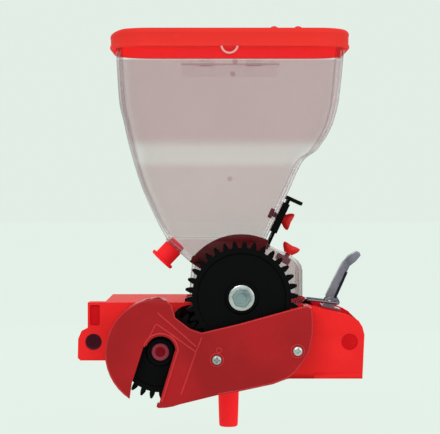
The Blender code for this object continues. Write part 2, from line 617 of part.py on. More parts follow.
def wing_knob(name, frame, hub_r, base, height, span, mat, bore):
    """A wing nut or knob: a hub along local X with two rounded wings along local Z."""
    knob = rod(name, (base, 0, 0), (base + height, 0, 0), hub_r, mat, sides=24, frame=frame,
               radius2=hub_r * 0.86)
    wing = [(base + 2.0, -hub_r), (base + height * 0.55, -span * 0.72),
            (base + height + 1.6, -span), (base + height + 3.4, -span + 1.4),
            (base + height + 3.0, -span * 0.55), (base + height - 0.4, -1.0),
            (base + height - 0.4, 1.0), (base + height + 3.0, span * 0.55),
            (base + height + 3.4, span - 1.4), (base + height + 1.6, span),
            (base + height * 0.55, span * 0.72), (base + 2.0, hub_r)]
    join(knob, flat(name + "_wings", wing, (-1.5, 1.5), tool=True, frame=frame))
    cut(knob, rod(name + "_bore", (base - 2, 0, 0), (base + height + 6, 0, 0), bore, tool=True,
                  sides=20, frame=frame))
    return knob


wing_knob("gate_wing_nut", GATE, 5.0, 7.6, 6.0, 9.6, LID_RED, 2.8)

# --------------------------------------------------------------------------- meter brush

KNOB = (Matrix.Translation((46.5 * MM, GATE_Y * MM, (SHOULDER[0][1] - 20.5 * 0.52) * MM))
        @ Matrix.Rotation(-math.atan2(0.887, 0.461), 4, "Y"))
wing_knob("brush_knob", KNOB, 4.4, 0.4, 5.2, 8.4, LID_RED, 2.5)
cut(chamber, rod("brush_hole", (-8, 0, 0), (6, 0, 0), 2.5, tool=True, sides=20, frame=KNOB))
brush = box("meter_brush", (-9.6, -3.4), (-28.0, 28.0), (-4.0, 8.0), BRISTLE, frame=KNOB)
join(brush, rod("brush_stud", (-5.0, 0, 0), (6.5, 0, 0), 2.2, tool=True, sides=20, frame=KNOB))

# --------------------------------------------------------------------------- drain cap

drain_cap = turned("drain_cap",
                   [(0.0, 20.6), (11.6, 20.6), (12.6, 19.6), (12.6, 17.4), (9.6, 17.4),
                    (9.6, 2.8), (8.0, 2.8), (8.0, -4.0), (0.0, -4.0)],
                   drain_at, drain_dir, LID_RED, sides=32)

# --------------------------------------------------------------------------- lid

LX0, LX1, LY0, LY1 = LID_BOX
SKIN = 2.2
lid = loft("lid",
           [rounded(LX0 + SKIN, LX1 - SKIN, LY0 + SKIN, LY1 - SKIN, 38, 30, LID_TOP - 3.0, 6),
            rounded(LX0 + SKIN, LX1 - SKIN, LY0 + SKIN, LY1 - SKIN, 38, 30, LID_BOTTOM, 6),
            rounded(LX0, LX1, LY0, LY1, 40, 32, LID_BOTTOM, 6),
            rounded(LX0, LX1, LY0, LY1, 40, 32, LID_TOP - 3.6, 6),
            rounded(LX0 + 3.0, LX1 - 1.2, LY0 + 1.2, LY1 - 1.2, 38, 31, LID_TOP - 1.7, 6),
            rounded(LX0 + 12.0, LX1 - 4.5, LY0 + 4.0, LY1 - 4.0, 34, 28, LID_TOP, 6)],
           LID_RED, capped=True)
for x in (31.5, 54.5):
    join(lid, turned(f"lid_dome_{int(x)}", [(0.0, 4.6), (3.2, 3.8), (4.8, 1.4), (5.0, -1.5),
                                            (0.0, -1.5)], (x, -120.0, LID_TOP), (0, 0, 1),
                     tool=True, sides=20))

catch_outline = (arc(-11.6, LID_BOTTOM, 9.0, 180.0, 360.0, 12)
                 + [(-2.6, LID_BOTTOM + 6.0), (-20.6, LID_BOTTOM + 6.0)])
lid_catch = flat("lid_catch", catch_outline, (LY0 - GAP - 2.2, LY0 - GAP), CLEAR)

leaf = box("lid_hinge_leaf", (-42.4, 22.4), (LY1 + GAP, LY1 + GAP + 2.0),
           (LID_TOP - 16.0, LID_TOP - 4.0), ZINC)
bracket = box("hopper_hinge_bracket", (-60.0, 40.0), (-14.7, -12.4), (HINGE_Z - 14.0, HINGE_Z),
              ZINC)
for i, x0 in enumerate((-60.0, 24.0)):
    join(bracket, box(f"bracket_arm_{i}", (x0, x0 + 16.0), (-13.0, -6.0),
                      (HINGE_Z - 3.2, HINGE_Z - 0.6),
                      tool=True),
         rod(f"bracket_knuckle_{i}", (x0, HINGE_Y, HINGE_Z), (x0 + 16.0, HINGE_Y, HINGE_Z), 3.5,
             tool=True, sides=20))
for i, x0 in enumerate((-42.4, 6.4)):
    join(leaf, box(f"leaf_arm_{i}", (x0, x0 + 16.0), (LY1 + GAP, LY1 + GAP + 2.0),
                   (HINGE_Z - 1.0, HINGE_Z + 8.0), tool=True),
         rod(f"leaf_knuckle_{i}", (x0, HINGE_Y, HINGE_Z), (x0 + 16.0, HINGE_Y, HINGE_Z), 3.8,
             tool=True, sides=20))
for obj in (bracket, leaf):
    cut(obj, rod(obj.name + "_bore", (-70, HINGE_Y, HINGE_Z), (50, HINGE_Y, HINGE_Z), 1.8,
                 tool=True, sides=16))
rod("lid_hinge_pin", (-61.0, HINGE_Y, HINGE_Z), (41.0, HINGE_Y, HINGE_Z), 1.4, ZINC, sides=16)

# --------------------------------------------------------------------------- draw latch

PX, PZ = LATCH_PIVOT


def bridge_top(x):
    return 31.8 - (x - 77.3) * 0.2262


latch_bracket = flat("latch_bracket", [(79.0, bridge_top(79.0) + 0.3),
                                       (98.0, bridge_top(98.0) + 0.3),
                                       (98.0, bridge_top(98.0) + 1.8),
                                       (79.0, bridge_top(79.0) + 1.8)],
                     (LATCH_Y - 11.0, LATCH_Y + 11.0), STEEL)
ear = ([(82.0, bridge_top(82.0) + 1.0), (92.2, bridge_top(92.2) + 1.0)]
       + arc(PX, PZ, 4.6, 0.0, 180.0, 10))
for i, side in enumerate((-11.0, 9.0)):
    join(latch_bracket, flat(f"latch_ear_{i}", ear, (LATCH_Y + side, LATCH_Y + side + 2.0),
                             tool=True))
pin_hole = ("latch_hole", (PX, LATCH_Y - 20, PZ), (PX, LATCH_Y + 20, PZ), 2.1)
cut(latch_bracket, rod(*pin_hole, tool=True, sides=20))
rod("latch_pin", (PX, LATCH_Y - 12.2, PZ), (PX, LATCH_Y + 12.2, PZ), 1.8, STEEL, sides=20)

cheek = (arc(PX, PZ, 3.6, 150.0, 300.0, 8)
         + [(BAIL_PIVOT[0] - 1.0, BAIL_PIVOT[1] - 2.3), (BAIL_PIVOT[0] + 1.6, BAIL_PIVOT[1] - 1.7),
            (BAIL_PIVOT[0] + 2.4, BAIL_PIVOT[1] + 0.4), (BAIL_PIVOT[0] + 1.4, BAIL_PIVOT[1] + 3.0),
            (94.2, 42.0), (105.2, 66.8), (107.2, 71.1), (113.2, 75.7), (118.1, 81.6),
            (116.9, 84.8), (114.4, 86.0), (107.0, 81.6), (100.8, 74.7), (97.1, 68.8)])
web = [(83.9, 41.5), (85.3, 40.9), (98.5, 68.1), (102.2, 73.8), (108.0, 80.3), (114.4, 84.2),
       (116.9, 84.8), (114.4, 86.0), (107.0, 81.6), (100.8, 74.7), (97.1, 68.8)]
lever = flat("latch_lever", web, (LATCH_Y - 8.0, LATCH_Y + 8.0), STEEL)
for i, side in enumerate((-8.0, 6.4)):
    join(lever, flat(f"lever_cheek_{i}", cheek, (LATCH_Y + side, LATCH_Y + side + 1.6),
                     tool=True))
cut(lever, rod("lever_pin_hole", (PX, LATCH_Y - 20, PZ), (PX, LATCH_Y + 20, PZ), 2.1, tool=True,
               sides=20),
    rod("lever_bail_hole", (BAIL_PIVOT[0], LATCH_Y - 20, BAIL_PIVOT[1]),
        (BAIL_PIVOT[0], LATCH_Y + 20, BAIL_PIVOT[1]), 1.5, tool=True, sides=16))

wire = bpy.data.curves.new("latch_bail", "CURVE")
wire.dimensions = "3D"
wire.bevel_depth = 1.2 * MM
wire.bevel_resolution = 2
wire.use_fill_caps = True
reach = 14.0
bx, bz = BAIL_PIVOT
cx, cz = BAIL_BAR


def bail_half(sign):
    """Points from the lever's cheek round to the middle of the hook bar."""
    points = [(bx, LATCH_Y + sign * 5.8, bz), (bx, LATCH_Y + sign * (reach - 3.0), bz)]
    for step in (30, 60):
        a = math.radians(step)
        points.append((bx - 3.0 + 3.0 * math.cos(a), LATCH_Y + sign * (reach - 3.0 + 3.0 *
                       math.sin(a)), bz + (cz - bz) * (3.0 - 3.0 * math.cos(a)) / (bx - cx)))
    points.append((bx - 3.0, LATCH_Y + sign * reach, bz + (cz - bz) * 3.0 / (bx - cx)))
    points.append((cx + 3.0, LATCH_Y + sign * reach, cz - (cz - bz) * 3.0 / (bx - cx)))
    for step in (30, 60):
        a = math.radians(step)
        points.append((cx + 3.0 - 3.0 * math.sin(a), LATCH_Y + sign * (reach - 3.0 + 3.0 *
                       math.cos(a)), cz))
    points.append((cx, LATCH_Y + sign * (reach - 3.0), cz))
    return points


path = bail_half(-1.0) + bail_half(1.0)[::-1]
spline = wire.splines.new("POLY")
spline.points.add(len(path) - 1)
for point, co in zip(spline.points, path):
    point.co = (co[0] * MM, co[1] * MM, co[2] * MM, 1.0)
bail = bpy.data.objects.new("latch_bail", wire)
PARTS.objects.link(bail)
wire.materials.append(STEEL)

hook_outline = [(59.3, 27.0), (66.5, 27.0), (69.0, 30.0), (69.0, 39.2), (66.1, 39.2),
                (66.1, 36.4), (60.9, 36.4), (60.9, 38.5), (59.3, 38.5)]
hook = flat("chamber_hook", hook_outline, (LATCH_Y - 5.0, LATCH_Y + 5.0), BLACK)

# --------------------------------------------------------------------------- joints' axes

parts = {obj.name: obj for obj in PARTS.objects}
carry(on_axis("meter_axis", 0.0, GEAR_FRONT, SHAFT_Z), driven_gear, meter_shaft, washer, bolt,
      roller)
carry(on_axis("pinion_axis", PINION_X, GEAR_FRONT, PINION_Z), pinion, sleeve)
carry(on_axis("lid_axis", -10.0, HINGE_Y, HINGE_Z), lid, lid_catch, leaf)
carry(on_axis("gate_axis", GATE_ORIGIN[0], GATE_Y, GATE_ORIGIN[1]), gate)
carry(on_axis("drain_axis", *drain_at), drain_cap)
lever_axis = on_axis("lever_axis", PX, LATCH_Y, PZ)
carry(lever_axis, lever)
carry(on_axis("bail_axis", bx, LATCH_Y, bz), bail)
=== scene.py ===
"""Looks of a seed drill metering unit: clear hopper, geared metering chamber and red carrier.

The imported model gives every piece's place and motion. Pieces whose CAD shape is right keep it with
softened edges; the hopper, lid, gears, screws, cap and spout are finer surfaces worked out here.
Lengths in the classes are millimetres, turned into metres as a mesh is made.
"""
import logging
import math
from dataclasses import dataclass, field
from enum import Enum

import bmesh
import bpy
import numpy as np
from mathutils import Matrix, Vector


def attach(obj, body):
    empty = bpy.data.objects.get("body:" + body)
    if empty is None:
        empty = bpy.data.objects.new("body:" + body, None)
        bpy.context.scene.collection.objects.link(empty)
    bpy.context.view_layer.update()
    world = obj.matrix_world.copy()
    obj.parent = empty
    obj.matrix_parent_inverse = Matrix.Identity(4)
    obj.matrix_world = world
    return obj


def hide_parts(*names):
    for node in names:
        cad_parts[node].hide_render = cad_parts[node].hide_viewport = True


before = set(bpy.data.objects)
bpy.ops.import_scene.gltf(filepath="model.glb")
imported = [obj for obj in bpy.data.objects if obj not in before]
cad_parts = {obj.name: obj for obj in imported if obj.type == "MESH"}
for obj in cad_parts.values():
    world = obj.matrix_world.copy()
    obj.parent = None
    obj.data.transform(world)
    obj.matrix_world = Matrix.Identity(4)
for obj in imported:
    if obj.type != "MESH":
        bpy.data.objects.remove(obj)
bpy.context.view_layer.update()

MM = 0.001
log = logging.getLogger("metering_unit")

Array = np.ndarray
Colour = tuple[float, float, float]
Point = tuple[float, float, float]

FRONT: Point = (0, -1, 0)
UP: Point = (0, 0, 1)
GEAR_Z = 43.5                       # the driven gear's axis, at x = 0
CENTRES = 93.0                      # from one gear's axis to the other's
PINION_AT = math.radians(213.78)    # the way from the driven gear to the pinion
SHARP = 34.0                        # degrees over which an edge of a new piece stays sharp


class Body(Enum):
    """The bodies that move as one."""

    UNIT = "unit"
    ROTOR = "rotor"
    PINION = "pinion"
    LID = "lid"
    GATE = "gate"
    DRAIN_CAP = "drain_cap"
    LEVER = "lever"
    BAIL = "bail"


# ------------------------------------------------------------------------------- shader recipes

class Wire:
    """A shader socket; arithmetic on it adds Math nodes."""

    def __init__(self, recipe: "Recipe", socket: bpy.types.NodeSocket) -> None:
        """Keeps the output.

        Args:
            recipe: owns the node tree.
            socket: the output that is read.
        """
        self.recipe = recipe
        self.socket = socket

    def _math(self, operation: str, first: "Wire | float", second: "Wire | float") -> "Wire":
        """A Math node on two values."""
        return self.recipe.add("ShaderNodeMath", {"operation": operation}, {0: first, 1: second})

    def __add__(self, other: "Wire | float") -> "Wire":
        """self + other."""
        return self._math("ADD", self, other)

    def __mul__(self, other: "Wire | float") -> "Wire":
        """self * other."""
        return self._math("MULTIPLY", self, other)

    def __sub__(self, other: "Wire | float") -> "Wire":
        """self - other."""
        return self._math("SUBTRACT", self, other)

    def step(self, low: float, high: float) -> "Wire":
        """Smoothly 0 below low and 1 above high."""
        return self.recipe.add("ShaderNodeMapRange", {"interpolation_type": "SMOOTHSTEP"},
                               {"Value": self, "From Min": low, "From Max": high})


class Recipe:
    """Builds one material's node tree."""

    def __init__(self, name: str) -> None:
        """Starts the material.

        Args:
            name: the material's name.
        """
        self.material = bpy.data.materials.new(name)
        self.material.use_nodes = True
        self.tree = self.material.node_tree
        self.shader = self.tree.nodes["Principled BSDF"]
        self.place = self.add("ShaderNodeTexCoord", {}, {}, "Object")

    def add(self, kind: str, settings: dict, sockets: dict, output: str | int = 0) -> Wire:
        """Adds a node.

        Args:
            kind: the node's type.
            settings: its properties, set first.
            sockets: values or Wires of its inputs, by name or number.
            output: the output to read.

        Returns:
            The output as a Wire.
        """
        node = self.tree.nodes.new(kind)
        for key, value in settings.items():
            setattr(node, key, value)
        for key, value in sockets.items():
            if isinstance(value, Wire):
                self.tree.links.new(value.socket, node.inputs[key])
            else:
                node.inputs[key].default_value = value
        return Wire(self, node.outputs[output])

    def noise(self, scale: float, detail: float = 3.0, stretch: Colour = (1.0, 1.0, 1.0),
              roughness: float = 0.5) -> Wire:
        """Noise on object coordinates.

        Args:
            scale: waves in a metre.
            detail: octaves.
            stretch: how much faster it varies along each axis.
            roughness: share of the finer octaves.

        Returns:
            The noise, about 0 to 1.
        """
        place = self.add("ShaderNodeMapping", {}, {"Vector": self.place, "Scale": stretch})
        return self.add("ShaderNodeTexNoise", {"noise_dimensions": "3D"},
                        {"Vector": place, "Scale": scale, "Detail": detail,
                         "Roughness": roughness}, "Fac")

    def blend(self, mask: "Wire | float", low: "Wire | Colour", high: "Wire | Colour") -> Wire:
        """Mixes two colours.

        Args:
            mask: share of the second.
            low: the colour where the mask is 0.
            high: the colour where it is 1.

        Returns:
            The mixed colour.
        """
        def rgba(value: "Wire | Colour") -> "Wire | tuple":
            """A colour with its alpha, or a Wire as it is."""
            return value if isinstance(value, Wire) else (*value, 1.0)
        return self.add("ShaderNodeMix", {"data_type": "RGBA"},
                        {0: mask, 6: rgba(low), 7: rgba(high)}, 2)

    def bump(self, height: Wire, strength: float, distance: float) -> Wire:
        """Turns a height into a normal.

        Args:
            height: the height, about 0 to 1.
            strength: share of the effect.
            distance: the height's depth in metres.

        Returns:
            The normal.
        """
        return self.add("ShaderNodeBump", {}, {"Height": height, "Strength": strength,
                                               "Distance": distance}, "Normal")

    def set(self, **sockets: "Wire | float | Colour") -> None:
        """Sets the Principled shader's sockets.

        Args:
            sockets: values or Wires by socket, underscores standing for spaces.
        """
        for key, value in sockets.items():
            target = self.shader.inputs[key.replace("_", " ")]
            if isinstance(value, Wire):
                self.tree.links.new(value.socket, target)
            elif isinstance(value, tuple):
                target.default_value = (*value, 1.0)
            else:
                target.default_value = value


@dataclass(frozen=True)
class MouldedPlastic:
    """Injection-moulded plastic: even colour, faint flow clouds, fine grain and rubbed spots.

    The glow is painted light: the plastic shines in its own colour, standing for light that comes
    through a thin wall.
    """

    name: str
    colour: Colour
    roughness: float = 0.36
    cloud: float = 0.12
    grain: float = 0.12
    scuff: Colour = (0.85, 0.13, 0.12)
    scuffed: float = 0.14
    gloss: float = 0.22
    glow: float = 0.0

    def build(self) -> bpy.types.Material:
        """Mixes the finish.

        Returns:
            The material.
        """
        recipe = Recipe(self.name)
        cloud = recipe.noise(14.0, 4.0)
        grain = recipe.noise(1700.0, 2.0)
        dirt = recipe.noise(55.0, 6.0, roughness=0.65).step(0.56, 0.78)
        scratch = recipe.noise(90.0, 4.0, (1.0, 1.0, 9.0)).step(0.66, 0.74)
        deep = tuple(c * (1.0 - self.cloud * 2.0) for c in self.colour)
        body = recipe.blend(cloud.step(0.3, 0.7), deep, self.colour)
        body = recipe.blend((dirt * self.scuffed * 0.5) + (scratch * self.scuffed), body,
                            self.scuff)
        # painted light: the finish shines in its own colour at the glow's strength
        recipe.set(Base_Color=body, Specular_IOR_Level=self.gloss,
                   Emission_Color=self.colour, Emission_Strength=self.glow,
                   Roughness=(cloud * 0.10) + (dirt * 0.12) + (self.roughness - 0.05),
                   Normal=recipe.bump((grain * 0.6) + (cloud * 2.0), self.grain, 0.0004))
        return recipe.material


@dataclass(frozen=True)
class ClearPlastic:
    """Clear moulding gone slightly smoky: darker where it is seen edge on and where it is thick.

    A dense plastic is a little clearer at the hopper's shoulder, 166 to 198 mm up, a painted
    highlight for light from above glancing off the shoulder. Each is clearer near the rim, over a
    line that climbs from 270 mm at the front wall to 281 mm at the rear one.
    """

    name: str
    colour: Colour = (0.33, 0.075, 0.11)
    edge: Colour = (0.060, 0.045, 0.048)
    body: float = 0.150
    thin: float = 0.035
    rim: float = 0.62
    roughness: float = 0.10
    dense: float = 0.0
    climb: float = 0.0836

    def build(self) -> bpy.types.Material:
        """Mixes the finish.

        Returns:
            The material.
        """
        recipe = Recipe(self.name)
        facing = recipe.add("ShaderNodeLayerWeight", {}, {"Blend": 0.5}, "Facing")
        haze = recipe.noise(16.0, 3.0)
        dust = recipe.noise(260.0, 5.0, roughness=0.7).step(0.55, 0.8)
        flow = recipe.noise(24.0, 2.0, (1.0, 1.0, 0.25))
        steep = facing.step(0.58, 0.95)
        height = recipe.add("ShaderNodeSeparateXYZ", {}, {"Vector": recipe.place}, "Z")
        depth = recipe.add("ShaderNodeSeparateXYZ", {}, {"Vector": recipe.place}, "Y")
        above = height.step(0.186, 0.198)
        # painted highlight: the clearer shoulder band stands for light from above glancing off the
        # shoulder
        shoulder = height.step(0.166, 0.176) - above
        rim = (height - (depth * self.climb)).step(0.2805, 0.2825)
        tint = recipe.blend(steep, self.colour, self.edge)
        recipe.set(Base_Color=tint, IOR=1.45, Specular_IOR_Level=0.16,
                   Roughness=(haze * 0.10) + (dust * 0.14) + self.roughness,
                   Alpha=(steep * self.rim) - (facing.step(0.30, 0.62) * self.thin)
                   + (haze * 0.03) + (dust * 0.02) + (above * self.dense)
                   - (shoulder * (self.dense * 1.6)) - (rim * (self.dense + self.body * 0.85))
                   + self.body,
                   Normal=recipe.bump(flow, 0.10, 0.003))
        recipe.material.surface_render_method = "BLENDED"
        return recipe.material


@dataclass(frozen=True)
class Metal:
    """Plated or rolled steel: fine rolling lines, dull patches and a few dark specks."""

    name: str
    colour: Colour
    dull: Colour
    roughness: float = 0.3
    lines: Colour = (1.0, 12.0, 1.0)

    def build(self) -> bpy.types.Material:
        """Mixes the finish.

        Returns:
            The material.
        """
        recipe = Recipe(self.name)
        line = recipe.noise(420.0, 3.0, self.lines)
        patch = recipe.noise(70.0, 5.0, roughness=0.6).step(0.42, 0.72)
        speck = recipe.noise(900.0, 2.0).step(0.70, 0.76)
        tone = recipe.blend(patch, self.colour, self.dull)
        tone = recipe.blend(speck * 0.5, tone, (0.08, 0.07, 0.06))
        recipe.set(Base_Color=tone, Metallic=1.0,
                   Roughness=(line * 0.14) + (patch * 0.16) + (self.roughness - 0.06),
                   Normal=recipe.bump(line, 0.10, 0.0002))
        return recipe.material


@dataclass(frozen=True)
class Nylon:
    """Black filled nylon with a dry, slightly mottled face and pale handling dust."""

    name: str
    colour: Colour = (0.0012, 0.0012, 0.0014)
    roughness: float = 0.50

    def build(self) -> bpy.types.Material:
        """Mixes the finish.

        Returns:
            The material.
        """
        recipe = Recipe(self.name)
        mottle = recipe.noise(60.0, 5.0, roughness=0.6)
        grain = recipe.noise(2300.0, 2.0)
        dust = recipe.noise(130.0, 6.0, roughness=0.7).step(0.6, 0.85)
        tone = recipe.blend(dust * 0.10, self.colour, (0.035, 0.032, 0.030))
        recipe.set(Base_Color=tone, Specular_IOR_Level=0.05,
                   Roughness=(mottle * 0.16) + (dust * 0.1) + (self.roughness - 0.08),
                   Normal=recipe.bump((grain * 0.5) + mottle, 0.12, 0.0004))
        return recipe.material


@dataclass(frozen=True)
class BrushFibre:
    """Dark bristle: streaks along the fibres."""

    name: str

    def build(self) -> bpy.types.Material:
        """Mixes the finish.

        Returns:
            The material.
        """
        recipe = Recipe(self.name)
        streak = recipe.noise(500.0, 3.0, (1.0, 6.0, 0.4))
        recipe.set(Base_Color=recipe.blend(streak, (0.02, 0.018, 0.016), (0.10, 0.09, 0.08)),
                   Roughness=0.85, Normal=recipe.bump(streak, 0.6, 0.0008))
        return recipe.material


# ------------------------------------------------------------------------------- surface maths

def link(name: str, data: bpy.types.ID) -> bpy.types.Object:
    """Puts a new object in the scene, at the origin.

    Args:
        name: the object's name.
        data: its mesh, light or camera.

    Returns:
        The object.
    """
    piece = bpy.data.objects.new(name, data)
    bpy.context.scene.collection.objects.link(piece)
    return piece


def as_mesh(name: str, points: Array, faces: Array, sharp: float) -> bpy.types.Object:
    """Makes an object of points in millimetres and faces.

    Args:
        name: the piece's name.
        points: N x 3 places.
        faces: M x 4 vertex numbers.
        sharp: angle in degrees over which an edge stays sharp.

    Returns:
        The object, its doubles merged and its normals outward.
    """
    mesh = bpy.data.meshes.new(name)
    mesh.from_pydata((points * MM).tolist(), [], faces.tolist())
    work = bmesh.new()
    work.from_mesh(mesh)
    bmesh.ops.remove_doubles(work, verts=work.verts, dist=1e-6)
    bmesh.ops.dissolve_degenerate(work, edges=work.edges, dist=1e-7)
    bmesh.ops.recalc_face_normals(work, faces=work.faces)
    work.to_mesh(mesh)
    work.free()
    mesh.shade_smooth()
    mesh.set_sharp_from_angle(angle=math.radians(sharp))
    return link(name, mesh)


def grid_faces(rows: int, columns: int, close_rows: bool) -> Array:
    """Quads of a grid whose columns close on themselves: each joins a point to the next column
    and the next row.

    Args:
        rows: how many rows.
        columns: how many points in a row.
        close_rows: whether the last row also meets the first.

    Returns:
        M x 4 vertex numbers.
    """
    last = rows if close_rows else rows - 1
    r, c = np.meshgrid(np.arange(last), np.arange(columns), indexing="ij")
    up, over = (r + 1) % rows, (c + 1) % columns
    quads = np.stack([r * columns + c, r * columns + over, up * columns + over, up * columns + c])
    return quads.reshape(4, -1).T


def skin(name: str, grid: Array, close_rows: bool = True, sharp: float = SHARP
         ) -> bpy.types.Object:
    """A closed surface over a grid.

    Args:
        name: the piece's name.
        grid: rows x columns x 3 places.
        close_rows: whether the last row meets the first.
        sharp: angle in degrees over which an edge stays sharp.

    Returns:
        The object.
    """
    rows, columns = grid.shape[:2]
    return as_mesh(name, grid.reshape(-1, 3), grid_faces(rows, columns, close_rows), sharp)


def turn(profile: Array, sides: int) -> Array:
    """A profile carried round an axis: x = r cos a, y = r sin a, z = h.

    Args:
        profile: (radius, height) pairs.
        sides: steps round the axis.

    Returns:
        The grid of places, a row for each pair.
    """
    angle = np.linspace(0.0, 2.0 * np.pi, sides, endpoint=False)
    radius = np.repeat(profile[:, :1], sides, 1)
    return np.stack([radius * np.cos(angle), radius * np.sin(angle),
                     np.repeat(profile[:, 1:], sides, 1)], axis=-1)


def stand(grid: Array, base: Point, axis: Point) -> Array:
    """The grid with its z axis turned onto axis and its origin moved to base."""
    spin = np.array(Vector(UP).rotation_difference(Vector(axis)).to_matrix())
    return grid @ spin.T + np.array(base)


def turned(name: str, profile: tuple, sides: int, base: Point, axis: Point = FRONT,
           ring: bool = False) -> bpy.types.Object:
    """A turned piece.

    Args:
        name: the piece's name.
        profile: (radius, height) pairs, from the axis back to the axis unless it is a ring.
        sides: steps round the axis.
        base: where the profile's height is 0.
        axis: the way its height grows.
        ring: whether the profile closes on itself.

    Returns:
        The object.
    """
    grid = stand(turn(np.array(profile, dtype=float), sides), base, axis)
    return skin(name, grid, ring)


def easy(x: Array, y: Array, at: Array) -> Array:
    """A smooth curve through a table that never overshoots: cubic pieces whose slope at a point is
    the harmonic mean of its neighbours' slopes, or 0 at a turn.

    Args:
        x: the table's places, rising.
        y: its values.
        at: where the curve is read.

    Returns:
        The values there.
    """
    h, d = np.diff(x), np.diff(y) / np.diff(x)
    inner = np.where(d[:-1] * d[1:] > 0, 2 * d[:-1] * d[1:] / np.where(
        d[:-1] + d[1:] == 0, 1, d[:-1] + d[1:]), 0.0)
    slope = np.concatenate([d[:1], inner, d[-1:]])
    k = np.clip(np.searchsorted(x, at, side="right") - 1, 0, len(x) - 2)
    t = (at - x[k]) / h[k]
    return ((1 + 2 * t) * (1 - t) ** 2 * y[k] + t * (1 - t) ** 2 * h[k] * slope[k]
            + t * t * (3 - 2 * t) * y[k + 1] + t * t * (t - 1) * h[k] * slope[k + 1])


def rounded_rings(x0: Array, x1: Array, y0: Array, y1: Array, left: Array, right: Array,
                  z: Array, steps: int = 14) -> Array:
    """Rounded rectangles, one a row: quarter circles about the four corner centres, joined by
    straight sides.

    Args:
        x0: left side, one value a row, as all that follow but steps.
        x1: right side.
        y0: front side.
        y1: rear side.
        left: radius of the left corners.
        right: radius of the right corners.
        z: height.
        steps: steps in a corner.

    Returns:
        The grid of places.
    """
    quarter = np.radians(np.linspace(0.0, 90.0, steps + 1))
    rows = []
    for k, (edge_x, edge_y, radius, sx, sy) in enumerate(
            ((x1, y1, right, -1, -1), (x0, y1, left, 1, -1), (x0, y0, left, 1, 1),
             (x1, y0, right, -1, 1))):
        angle = quarter + k * np.pi / 2
        rows.append(np.stack([edge_x[:, None] + sx * radius[:, None]
                              + radius[:, None] * np.cos(angle),
                              edge_y[:, None] + sy * radius[:, None]
                              + radius[:, None] * np.sin(angle),
                              np.repeat(z[:, None], steps + 1, 1)], axis=-1))
    return np.concatenate(rows, axis=1)


def arc(centre: Point, radius: float, start: float, end: float, count: int) -> Array:
    """Points on a circle in the x, z plane: x = cx + r cos a, z = cz + r sin a.

    Args:
        centre: the circle's middle.
        radius: its radius.
        start: the first point's angle in degrees.
        end: the last point's.
        count: how many points.

    Returns:
        count x 3 places.
    """
    angle = np.radians(np.linspace(start, end, count))
    return np.stack([centre[0] + radius * np.cos(angle), np.full(count, centre[1]),
                     centre[2] + radius * np.sin(angle)], axis=-1)


def tube(path: Array, radius: float, sides: int = 12, flatten: float = 1.0) -> Array:
    """A round bar along a path: at each point a circle in the plane across the path's direction.

    Args:
        path: N x 3 places of its middle line.
        radius: the circle's radius.
        sides: points on the circle.
        flatten: what the circle's second axis is scaled by.

    Returns:
        The grid of places, both ends closed to a point.
    """
    ahead = np.gradient(path, axis=0)
    ahead /= np.linalg.norm(ahead, axis=1, keepdims=True)
    side = np.cross(ahead, np.array([0.0, 1.0, 0.0]))
    weak = np.linalg.norm(side, axis=1) < 0.2
    side[weak] = np.cross(ahead[weak], np.array([0.0, 0.0, 1.0]))
    side /= np.linalg.norm(side, axis=1, keepdims=True)
    over = np.cross(side, ahead)
    angle = np.linspace(0, 2 * np.pi, sides, endpoint=False)
    ring = (np.cos(angle)[None, :, None] * side[:, None] * radius
            + np.sin(angle)[None, :, None] * over[:, None] * radius * flatten)
    body = path[:, None] + ring
    cap = np.repeat(path[[0, -1], None], sides, 1)
    return np.concatenate([cap[:1], body, cap[1:]])


def resample(points: list | tuple, count: int) -> Array:
    """Points at even distances along straight runs.

    Args:
        points: the runs' ends.
        count: how many points.

    Returns:
        count x 3 places.
    """
    line = np.array(points, dtype=float)
    far = np.concatenate([[0.0], np.cumsum(np.linalg.norm(np.diff(line, axis=0), axis=1))])
    at = np.linspace(0.0, far[-1], count)
    return np.stack([np.interp(at, far, line[:, k]) for k in range(line.shape[1])], axis=-1)
